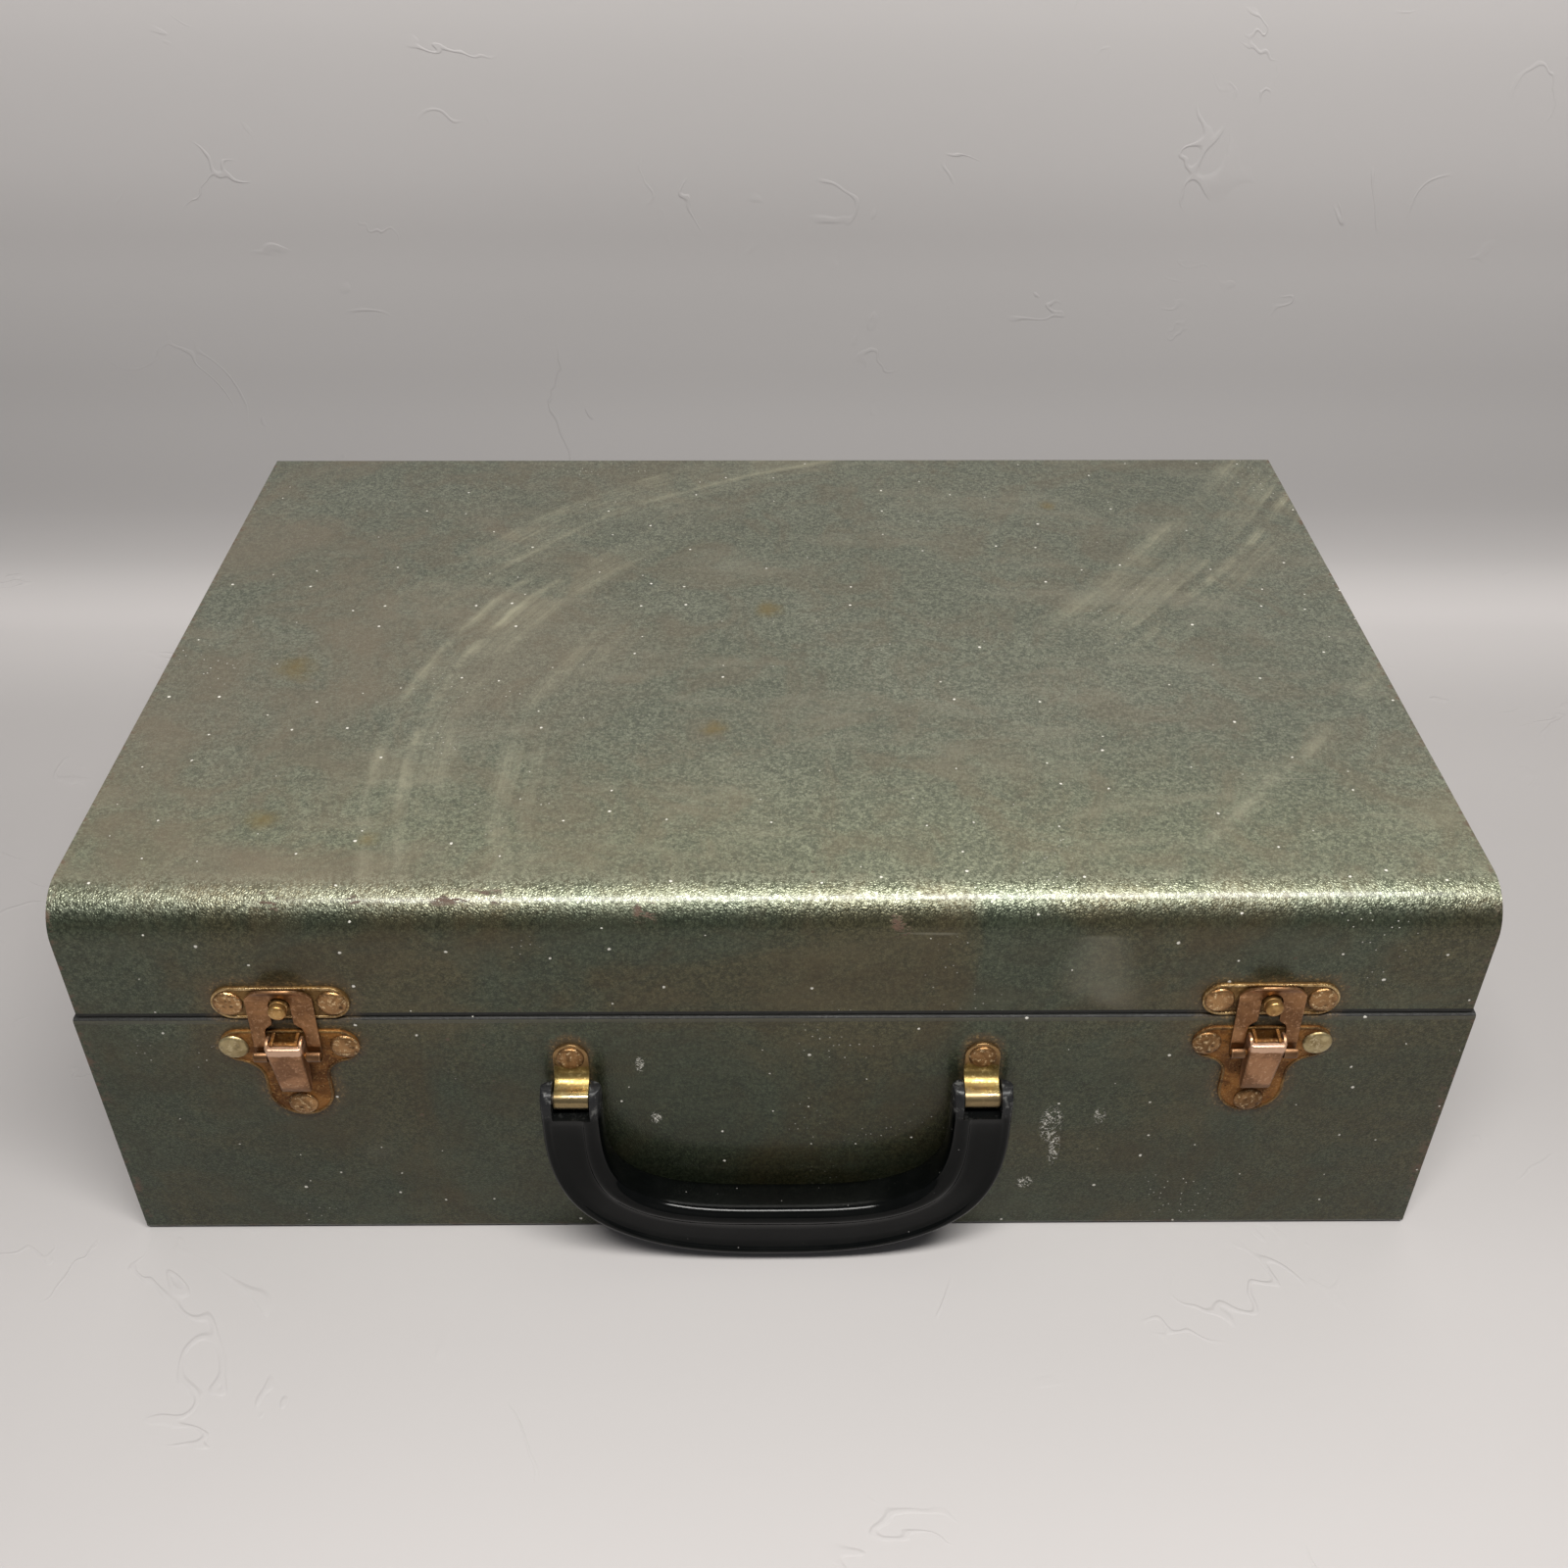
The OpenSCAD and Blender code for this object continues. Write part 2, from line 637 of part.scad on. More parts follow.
// The hollow behind the face, open at the back and at the top.
lever_hollow = [[-4, 4], [1.6, 4], [1.6, 1], [2.1, 0.6], [2.2, -0.6], [1.7, -6], [0.3, -15.3],
                [-0.6, -19.4], [-4, -19.4]];

module latch_lever(s) {
    color(rust) translate([s * latch_x, 0, 0]) difference() {
        front_profile(lever_w) translate([pivot_u, pivot_z]) polygon(lever_side);
        front_profile(lever_w - 2 * lever_t) translate([pivot_u, pivot_z]) polygon(lever_hollow);
        // the face stops below the top of the side cheeks, so it clears the ears when it swings up
        front_profile(lever_w - 2 * lever_t) translate([pivot_u, pivot_z + lever_face_top]) square([4, 4]);
        cross_pin(latch_pin_r + run_gap, lever_w + 2 * cut, pivot_u, pivot_z);
        cross_pin(latch_pin_r + run_gap, lever_w + 2 * cut, link_u, link_z);
    }
}

module latch_link_pin(s) {
    color(steel) translate([s * latch_x, 0, 0]) cross_pin(latch_pin_r, hasp_w, link_u, link_z);
}

// The hasp's front view as [x, height above the link pin]: a slot for the lever, a notch for the stud.
module hasp_outline() {
    arch_r = (pow(hasp_w / 2 - 1, 2) + pow(hasp_peak - hasp_corner, 2)) / (2 * (hasp_peak - hasp_corner));
    notch_r = stud_r + hook_gap;
    notch_z = strike_z - link_z;
    slot_r = 2;
    difference() {
        union() {
            translate([-hasp_w / 2, 0]) square([hasp_w, hasp_corner]);
            intersection() {
                translate([0, hasp_peak - arch_r]) circle(arch_r, $fn = 96);
                translate([-hasp_w / 2, hasp_corner - cut]) square([hasp_w, hasp_peak]);
            }
        }
        translate([-hasp_slot, -cut]) square([2 * hasp_slot, hasp_shoulder - slot_r + cut]);
        translate([-hasp_slot + slot_r, 0]) square([2 * (hasp_slot - slot_r), hasp_shoulder]);
        for (dx = [-1, 1]) translate([dx * (hasp_slot - slot_r), hasp_shoulder - slot_r]) circle(slot_r);
        translate([-notch_r, hasp_shoulder - cut]) square([2 * notch_r, notch_z - hasp_shoulder + cut]);
        translate([0, notch_z]) circle(notch_r);
    }
}

// The hasp: a flat plate with its top bent out as a finger lip, and two curls round the link pin.
module latch_hasp(s) {
    back = curl_r;                          // from the link pin to the plate's back face
    lip = 30;                               // angle of the finger lip
    lip_len = 6;
    tip = [-back + lip_len * sin(lip), hasp_bend + lip_len * cos(lip)];
    side = [[-back, 0], [-back, hasp_bend], tip, tip + hasp_t * [cos(lip), -sin(lip)],
            [-back + hasp_t, hasp_bend - hasp_t * tan(lip / 2)], [-back + hasp_t, 0]];
    color(rust) translate([s * latch_x, front_y - link_u, link_z]) rotate([-hasp_tilt, 0, 0]) difference() {
        union() {
            intersection() {
                rotate([90, 0, -90]) linear_extrude(hasp_w, center = true) polygon(side);
                translate([0, 2 * back, 0]) rotate([90, 0, 0])
                    linear_extrude(4 * back + lip_len) hasp_outline();
            }
            for (dx = [-1, 1]) translate([dx * (hasp_w + 2 * hasp_slot) / 4, 0, 0]) rotate([0, 90, 0])
                cylinder(h = hasp_w / 2 - hasp_slot, r = curl_r, center = true);
        }
        rotate([0, 90, 0]) cylinder(h = hasp_w + 2 * cut, r = latch_pin_r + run_gap, center = true);
    }
}

// ---------- handle ----------

// The strap's way from the wall to the loop, as [u, z] of its middle: flat, then out to the loop's top.
clip_path_r = handle_u - clip_t / 2;
clip_top_z = handle_z + loop_out - clip_t / 2;
clip_bend_z = clip_top_z + clip_path_r;
clip_path = concat([[clip_t / 2, clip_rivet_z]],
                   [for (a = [0:10:70]) [clip_t / 2, clip_bend_z] + clip_path_r * [1 - cos(a), -sin(a)]],
                   [[handle_u, clip_top_z]]);

// The outline of a strip t thick about a path.
function strip(p, t) = concat([for (i = [0:len(p) - 1]) p[i] + t / 2 * normal(p, i)],
                              [for (i = [len(p) - 1:-1:0]) p[i] - t / 2 * normal(p, i)]);

// The unit normal of a path at point i, to the left of its way.
function normal(p, i) = let (d = p[min(i + 1, len(p) - 1)] - p[max(i - 1, 0)]) [-d[1], d[0]] / norm(d);

module handle_clip(s) {
    color(brass) translate([s * clip_x, 0, 0]) difference() {
        union() {
            front_plate(clip_t) {
                translate([0, clip_rivet_z]) circle(clip_end_r);
                translate([-clip_w / 2, clip_bend_z]) square([clip_w, clip_rivet_z - clip_bend_z]);
            }
            front_profile(clip_w) polygon(strip(clip_path, clip_t));
            cross_pin(loop_out, clip_w, handle_u, handle_z);
        }
        cross_pin(loop_in, clip_w + 2 * cut, handle_u, handle_z);
        translate([0, front_y, clip_rivet_z]) rivet_hole();
    }
}

module handle_rivets() {
    color(rust) for (s = [-1, 1]) translate([s * clip_x, front_y - clip_t, clip_rivet_z])
        rivet(clip_t + sheet_t, rivet_r, clip_rivet_head_r);
}

module handle_pin(s) {
    color(steel) translate([s * clip_x, 0, 0])
        cross_pin(handle_pin_r, slot_w + 2 * lug_t, handle_u, handle_z);
}

// A point of the bow curve that the handle's outside and inside follow, a from 0 to 180 degrees.
function bow(hw, top, low, n, a) = [-hw * sign(cos(a)) * pow(abs(cos(a)), 2 / n),
                                    top - (top - low) * pow(sin(a), 2 / n)];

// The handle in front view: arms and grip between an outer and an inner bow.
module handle_outline() {
    steps = 36;
    difference() {
        union() {
            polygon([for (i = [0:steps]) bow(arm_out, bow_top, grip_low, outer_bow_n, i * 180 / steps)]);
            for (s = [-1, 1]) translate([s < 0 ? -arm_out : arm_in, bow_top - cut])
                square([arm_out - arm_in, handle_z - bow_top + cut]);
        }
        polygon([for (i = [0:steps]) bow(arm_in, bow_top, grip_top, inner_bow_n, i * 180 / steps)]);
        translate([-arm_in, bow_top - cut]) square([2 * arm_in, lug_r + handle_z]);
    }
}

module handle_grip() {
    color(black) difference() {
        union() {
            intersection() {
                front_plate(2 * lug_r, arm_u0) handle_outline();
                translate([-arm_out - cut, front_y - 3 * lug_r, 0])
                    cube([2 * (arm_out + cut), 3 * lug_r, handle_z]);
            }
            // the grip is deeper than the arms
            intersection() {
                front_plate(grip_depth, grip_u0) handle_outline();
                translate([-arm_out, front_y - 2 * grip_depth, 0])
                    cube([2 * arm_out, 2 * grip_depth, grip_top + grip_fade]);
            }
            for (s = [-1, 1]) translate([s * clip_x, 0, 0])
                cross_pin(lug_r, slot_w + 2 * lug_t, handle_u, handle_z);
        }
        for (s = [-1, 1]) translate([s * clip_x, 0, 0]) {
            translate([-slot_w / 2, front_y - 3 * lug_r, handle_z - slot_floor])
                cube([slot_w, 3 * lug_r, slot_floor + 2 * lug_r]);
            cross_pin(handle_pin_r + run_gap, slot_w + 2 * lug_t + 2 * cut, handle_u, handle_z);
        }
    }
}

// ---------- trays ----------

// An open sheet pan with a thicker rolled rim. s is -1 for the left tray and 1 for the right.
module tray_pan(s) {
    x0 = s * tray_x - tray_w / 2;
    color(tray_paint) difference() {
        translate([x0, tray_front_y, tray_z]) cube([tray_w, tray_d, tray_h]);
        translate([x0 + tray_t, tray_front_y + tray_t, tray_z + tray_t])
            cube([tray_w - 2 * tray_t, tray_d - 2 * tray_t, tray_h - tray_rim * 2]);
        translate([x0 + tray_rim, tray_front_y + tray_rim, tray_z + tray_t])
            cube([tray_w - 2 * tray_rim, tray_d - 2 * tray_rim, tray_h]);
    }
}

// The sheet across a tray's middle, with two ears for the bail.
module tray_cross_divider(s) {
    ears_out = bail_w / 2 + bail_r + bail_ear_gap + bail_ear_t;
    color(tray_paint) translate([s * tray_x, tray_mid_y, 0]) difference() {
        union() {
            translate([-tray_w / 2 + tray_rim + sheet_gap, -tray_t / 2, tray_z + tray_t])
                cube([tray_w - 2 * (tray_rim + sheet_gap), tray_t, divider_top - tray_z - tray_t]);
            for (dx = [-1, 1]) translate([dx * (ears_out - bail_ear_t / 2), 0, 0]) {
                translate([0, 0, bail_z]) rotate([0, 90, 0])
                    cylinder(h = bail_ear_t, r = bail_ear_r, center = true);
                translate([-bail_ear_t / 2, -bail_ear_r, divider_top - bail_ear_root])
                    cube([bail_ear_t, 2 * bail_ear_r, bail_z - divider_top + bail_ear_root]);
            }
        }
        translate([0, 0, bail_z]) rotate([0, 90, 0])
            cylinder(h = 2 * (ears_out + cut), r = bail_r + run_gap, center = true);
    }
}

// Equal partitions between the cross divider and the tray's front or back wall.
module tray_partitions(s, front_cells, rear_cells) {
    inner_w = tray_w - 2 * tray_rim;
    half_d = tray_d / 2 - tray_rim - tray_t / 2;
    color(tray_paint) translate([s * tray_x, tray_mid_y, tray_z + tray_t])
        for (half = [[-1, front_cells], [1, rear_cells]]) if (half[1] > 1)
            for (i = [1:half[1] - 1])
                translate([-inner_w / 2 + i * inner_w / half[1] - tray_t / 2,
                           half[0] < 0 ? -half_d - tray_t / 2 + sheet_gap : tray_t / 2 + sheet_gap, 0])
                    cube([tray_t, half_d - 2 * sheet_gap, divider_top - tray_z - tray_t]);
}

// A wire bail lying flat towards the front, turned about its two feet.
module tray_bail(s) {
    leg = bail_len - bail_bend_r;
    foot = bail_r + bail_ear_gap + bail_ear_t + bail_foot;
    color(steel) translate([s * tray_x, tray_mid_y, bail_z]) {
        translate([-bail_w / 2 + bail_bend_r, -bail_len, 0]) rotate([0, 90, 0])
            cylinder(h = bail_w - 2 * bail_bend_r, r = bail_r);
        for (dx = [-1, 1]) {
            translate([dx * bail_w / 2, 0, 0]) rotate([90, 0, 0]) cylinder(h = leg, r = bail_r);
            translate([dx * bail_w / 2, 0, 0]) sphere(bail_r);
            translate([dx * bail_w / 2, 0, 0]) rotate([0, dx * 90, 0]) cylinder(h = foot, r = bail_r);
            translate([dx * (bail_w / 2 - bail_bend_r), -leg, 0]) rotate(dx > 0 ? 270 : 180)
                rotate_extrude(angle = 90) translate([bail_bend_r, 0]) circle(bail_r);
        }
    }
}

// ---------- nodes ----------

body_wrap();
body_end(-1);  // body_end_left
body_end(1);  // body_end_right
rim_strip();
tray_ledge(-1);  // front_ledge
tray_ledge(1);  // rear_ledge
well_divider();
hinge_leaf(0, -1);  // hinge_leaf_body
hinge_pin();
hinge_rivets(-1);  // hinge_rivets_body
latch_base(-1);  // latch_base_left
latch_base(1);  // latch_base_right
latch_pivot_pin(-1);  // latch_pivot_pin_left
latch_pivot_pin(1);  // latch_pivot_pin_right
latch_rivets(-1);  // latch_rivets_left
latch_rivets(1);  // latch_rivets_right
handle_clip(-1);  // handle_clip_left
handle_clip(1);  // handle_clip_right
handle_rivets();
lid_wrap();
lid_end(-1);  // lid_end_left
lid_end(1);  // lid_end_right
hinge_leaf(1, 1);  // hinge_leaf_lid
hinge_rivets(1);  // hinge_rivets_lid
lid_stops();
lid_stop_rivets();
strike_plate(-1);  // strike_plate_left
strike_plate(1);  // strike_plate_right
strike_stud(-1);  // strike_stud_left
strike_stud(1);  // strike_stud_right
strike_rivets(-1);  // strike_rivets_left
strike_rivets(1);  // strike_rivets_right
latch_lever(-1);  // latch_lever_left
latch_lever(1);  // latch_lever_right
latch_hasp(-1);  // latch_hasp_left
latch_hasp(1);  // latch_hasp_right
latch_link_pin(-1);  // latch_link_pin_left
latch_link_pin(1);  // latch_link_pin_right
handle_grip();
handle_pin(-1);  // handle_pin_left
handle_pin(1);  // handle_pin_right
tray_pan(-1);  // tray_left_pan
tray_cross_divider(-1);  // tray_left_cross_divider
tray_partitions(-1, left_front_cells, left_rear_cells);  // tray_left_partitions
tray_bail(-1);  // tray_left_bail
tray_pan(1);  // tray_right_pan
tray_cross_divider(1);  // tray_right_cross_divider
tray_partitions(1, right_front_cells, right_rear_cells);  // tray_right_partitions
tray_bail(1);  // tray_right_bail
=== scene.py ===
"""A sheet-steel sewing case with trays: detailed hardware, worn hammered paint and a plain studio."""
import json
import logging
import math
import random
from dataclasses import dataclass, field
from enum import Enum
from typing import Iterable, Sequence

import bmesh
import bpy
from mathutils import Matrix, Vector

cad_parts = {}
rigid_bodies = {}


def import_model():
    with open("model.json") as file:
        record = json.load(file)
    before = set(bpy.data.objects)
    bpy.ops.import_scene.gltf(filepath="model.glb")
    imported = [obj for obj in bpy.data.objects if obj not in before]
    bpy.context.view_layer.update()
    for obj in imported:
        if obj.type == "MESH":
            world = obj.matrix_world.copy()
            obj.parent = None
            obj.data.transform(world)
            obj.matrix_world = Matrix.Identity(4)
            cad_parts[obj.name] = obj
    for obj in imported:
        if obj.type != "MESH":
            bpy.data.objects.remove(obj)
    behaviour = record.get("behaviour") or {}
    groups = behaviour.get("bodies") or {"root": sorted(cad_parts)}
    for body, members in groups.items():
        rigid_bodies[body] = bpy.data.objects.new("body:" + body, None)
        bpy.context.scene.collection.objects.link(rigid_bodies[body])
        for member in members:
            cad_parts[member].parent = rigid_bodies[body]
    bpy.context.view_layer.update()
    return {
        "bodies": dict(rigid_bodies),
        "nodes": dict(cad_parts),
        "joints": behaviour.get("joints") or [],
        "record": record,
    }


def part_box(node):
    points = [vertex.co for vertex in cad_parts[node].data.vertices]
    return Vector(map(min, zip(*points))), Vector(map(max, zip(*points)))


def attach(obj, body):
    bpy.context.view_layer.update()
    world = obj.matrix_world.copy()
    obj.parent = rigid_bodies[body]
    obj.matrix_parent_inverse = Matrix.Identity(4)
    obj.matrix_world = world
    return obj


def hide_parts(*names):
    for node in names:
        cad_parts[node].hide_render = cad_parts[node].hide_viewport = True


log = logging.getLogger("sewing_case")

MM = 0.001
Point2 = tuple[float, float]
Point3 = tuple[float, float, float]
Colour = tuple[float, float, float]

# Turns a flat plate's [x, y, z] to [out of the wall, up, sideways], for a cheek or an ear.
UPRIGHT = Matrix(((0, 0, 1, 0), (-1, 0, 0, 0), (0, 1, 0, 0), (0, 0, 0, 1)))
# Turns a turned piece's axis from Z to X, for a pin.
CROSSWISE = Matrix.Rotation(math.pi / 2, 4, "Y")


class Side(Enum):
    """The two ends of the case, with the sign of their X."""

    LEFT = -1
    RIGHT = 1

    @property
    def word(self) -> str:
        """The side's name as the frame's nodes spell it."""
        return self.name.lower()


class Plating(Enum):
    """How a rivet or plate has aged."""

    COPPER = "copper"
    NICKEL = "nickel"


# ---------------------------------------------------------------- shader helpers


class Graph:
    """A material's node tree, with short calls that add a node and return its output."""

    def __init__(self, name: str) -> None:
        """Makes an empty material of that name with one Principled shader."""
        self.material = bpy.data.materials.new(name)
        self.material.use_nodes = True
        self.tree = self.material.node_tree
        self.tree.nodes.clear()
        self.output = self.tree.nodes.new("ShaderNodeOutputMaterial")
        self.shader = self.tree.nodes.new("ShaderNodeBsdfPrincipled")
        self.tree.links.new(self.shader.outputs[0], self.output.inputs[0])
        self.place = self.tree.nodes.new("ShaderNodeTexCoord").outputs["Object"]

    def plug(self, socket: bpy.types.NodeSocket, value: object) -> None:
        """Links value to socket if it is a socket, and otherwise sets it there."""
        if isinstance(value, bpy.types.NodeSocket):
            self.tree.links.new(value, socket)
        else:
            socket.default_value = value

    def set(self, **values: object) -> None:
        """Sets or links the shader's own inputs, named with underscores for spaces."""
        for name, value in values.items():
            self.plug(self.shader.inputs[name.replace("_", " ")], value)

    def math(self, operation: str, a: object, b: object = 0.0, clamp: bool = False) -> bpy.types.NodeSocket:
        """One Math node."""
        node = self.tree.nodes.new("ShaderNodeMath")
        node.operation = operation
        node.use_clamp = clamp
        self.plug(node.inputs[0], a)
        self.plug(node.inputs[1], b)
        return node.outputs[0]

    def product(self, *factors: object) -> bpy.types.NodeSocket:
        """All the factors multiplied."""
        total = factors[0]
        for factor in factors[1:]:
            total = self.math("MULTIPLY", total, factor)
        return total

    def vector(self, operation: str, a: object, b: object = (0.0, 0.0, 0.0)) -> bpy.types.NodeSocket:
        """One Vector Math node; a length or dot product comes back as a number."""
        node = self.tree.nodes.new("ShaderNodeVectorMath")
        node.operation = operation
        self.plug(node.inputs[0], a)
        self.plug(node.inputs[1], b)
        return node.outputs[1] if operation in ("LENGTH", "DISTANCE", "DOT_PRODUCT") else node.outputs[0]

    def stretched(self, scale: Point3, turn: Point3 = (0.0, 0.0, 0.0)) -> bpy.types.NodeSocket:
        """The place in the object, turned and scaled, for a pattern that runs one way."""
        node = self.tree.nodes.new("ShaderNodeMapping")
        self.plug(node.inputs["Vector"], self.place)
        node.inputs["Rotation"].default_value = turn
        node.inputs["Scale"].default_value = scale
        return node.outputs[0]

    def axes(self) -> tuple[bpy.types.NodeSocket, ...]:
        """The place's X, Y and Z."""
        node = self.tree.nodes.new("ShaderNodeSeparateXYZ")
        self.plug(node.inputs[0], self.place)
        return tuple(node.outputs)

    def noise(self, scale: float, detail: float = 3.0, rough: float = 0.55, at: object = None,
              distortion: float = 0.0) -> bpy.types.NodeSocket:
        """Fractal noise from about 0.2 to 0.8.

        Args:
            scale: waves to a metre.
            detail: how many finer layers there are.
            rough: how strong each finer layer is.
            at: where it is read, or None for the place in the object.
            distortion: how far it is swirled.

        Returns:
            The noise.
        """
        node = self.tree.nodes.new("ShaderNodeTexNoise")
        self.plug(node.inputs["Vector"], self.place if at is None else at)
        node.inputs["Scale"].default_value = scale
        node.inputs["Detail"].default_value = detail
        node.inputs["Roughness"].default_value = rough
        node.inputs["Distortion"].default_value = distortion
        return node.outputs["Fac"]

    def cells(self, scale: float, feature: str = "F1", at: object = None,
              flat: bool = False) -> tuple[bpy.types.NodeSocket, bpy.types.NodeSocket]:
        """Voronoi cells.

        Args:
            scale: cells to a metre.
            feature: what the distance is measured to.
            at: where they are read, or None for the place in the object.
            flat: whether the cells lie in X and Y alone.

        Returns:
            The distance, and the cell's random colour where the feature has one.
        """
        node = self.tree.nodes.new("ShaderNodeTexVoronoi")
        node.feature = feature
        node.voronoi_dimensions = "2D" if flat else "3D"
        self.plug(node.inputs["Vector"], self.place if at is None else at)
        node.inputs["Scale"].default_value = scale
        return node.outputs["Distance"], node.outputs.get("Color") or node.outputs["Distance"]

    def step(self, value: object, low: float, high: float, out_low: float = 0.0,
             out_high: float = 1.0) -> bpy.types.NodeSocket:
        """A smooth step between two values.

        Args:
            value: what is tested.
            low: where the step begins; it may be above high.
            high: where it ends.
            out_low: the result at low and beyond it.
            out_high: the result at high and beyond it.

        Returns:
            The stepped number.
        """
        node = self.tree.nodes.new("ShaderNodeMapRange")
        node.interpolation_type = "SMOOTHSTEP"
        flip = low > high
        self.plug(node.inputs["Value"], value)
        node.inputs["From Min"].default_value = high if flip else low
        node.inputs["From Max"].default_value = low if flip else high
        node.inputs["To Min"].default_value = out_high if flip else out_low
        node.inputs["To Max"].default_value = out_low if flip else out_high
        return node.outputs[0]

    def window(self, value: object, low: float, high: float, soft: float) -> bpy.types.NodeSocket:
        """1 between low and high, falling to 0 over soft outside them."""
        return self.product(self.step(value, low - soft, low), self.step(value, high + soft, high))

    def blend(self, amount: object, a: object, b: object, mode: str = "MIX") -> bpy.types.NodeSocket:
        """Colour a with colour b mixed in by amount."""
        node = self.tree.nodes.new("ShaderNodeMix")
        node.data_type = "RGBA"
        node.blend_type = mode
        self.plug(node.inputs[0], amount)
        for socket, value in ((node.inputs[6], a), (node.inputs[7], b)):
            self.plug(socket, value if isinstance(value, bpy.types.NodeSocket) else (*value, 1.0))
        return node.outputs[2]

    def relief(self, height: object, depth: float, strength: float = 1.0,
               under: object = None) -> bpy.types.NodeSocket:
        """A bump, over another bump if one is given.

        Args:
            height: the pattern that rises and falls.
            depth: how far it rises, in metres.
            strength: how much of it shows.
            under: the bump beneath it.

        Returns:
            The bent normal.
        """
        node = self.tree.nodes.new("ShaderNodeBump")
        node.inputs["Strength"].default_value = strength
        node.inputs["Distance"].default_value = depth
        self.plug(node.inputs["Height"], height)
        if under is not None:
            self.plug(node.inputs["Normal"], under)
        return node.outputs[0]


# ---------------------------------------------------------------- finishes


@dataclass(frozen=True)
class Scuff:
    """A rubbed arc on the lid: a ring of fine streaks about a centre, from one angle to another."""

    centre: Point3
    radius: float
    width: float
    start: Point3
    reach: float
    strength: float

    def mask(self, g: Graph) -> bpy.types.NodeSocket:
        """How much the paint is rubbed at each place.

        Args:
            g: the paint's nodes.

        Returns:
            A number from 0 to the scuff's strength.
        """
        away = g.math("ADD", g.vector("DISTANCE", g.place, self.centre), g.product(g.noise(24.0, 3.0), 0.006))
        ring = g.window(away, self.radius - self.width / 2, self.radius + self.width / 2, self.width * 0.3)
        near = g.step(g.vector("DISTANCE", g.place, self.start), self.reach, self.reach * 0.55)
        lines = g.tree.nodes.new("ShaderNodeTexNoise")
        lines.noise_dimensions = "1D"
        g.plug(lines.inputs["W"], away)
        lines.inputs["Scale"].default_value = 120.0
        lines.inputs["Detail"].default_value = 5.0
        lines.inputs["Roughness"].default_value = 0.62
        streaks = g.step(lines.outputs["Fac"], 0.34, 0.80)
        patchy = g.step(g.noise(34.0, 6.0, 0.68), 0.36, 0.64)
        flat = g.step(g.axes()[2], self.centre[2] - 0.0008, self.centre[2] - 0.0003)
        return g.product(ring, near, streaks, patchy, flat, self.strength)


@dataclass(frozen=True)
class Halo:
    """A rust bloom on the paint round a piece of hardware: within spread of a line between two points."""

    start: Point3
    end: Point3
    radius: float
    spread: float

    def mask(self, g: Graph) -> bpy.types.NodeSocket:
        """How thick the rust is at each place.

        Args:
            g: the paint's nodes.

        Returns:
            1 on the line, fading raggedly to 0 past the radius.
        """
        a, b = Vector(self.start), Vector(self.end)
        run = b - a
        from_start = g.vector("SUBTRACT", g.place, tuple(a))
        along = g.math("DIVIDE", g.vector("DOT_PRODUCT", from_start, tuple(run)),
                       max(run.length_squared, 1e-9), clamp=True)
        scaled = g.tree.nodes.new("ShaderNodeVectorMath")
        scaled.operation = "SCALE"
        scaled.inputs[0].default_value = tuple(run)
        g.plug(scaled.inputs["Scale"], along)
        away = g.vector("DISTANCE", from_start, scaled.outputs[0])
        rough = g.math("MULTIPLY", g.noise(330.0, 6.0, 0.8), -1.9 * self.spread)
        return g.step(g.math("ADD", away, rough), self.radius + self.spread * 0.2,
                      self.radius - self.spread * 1.2)


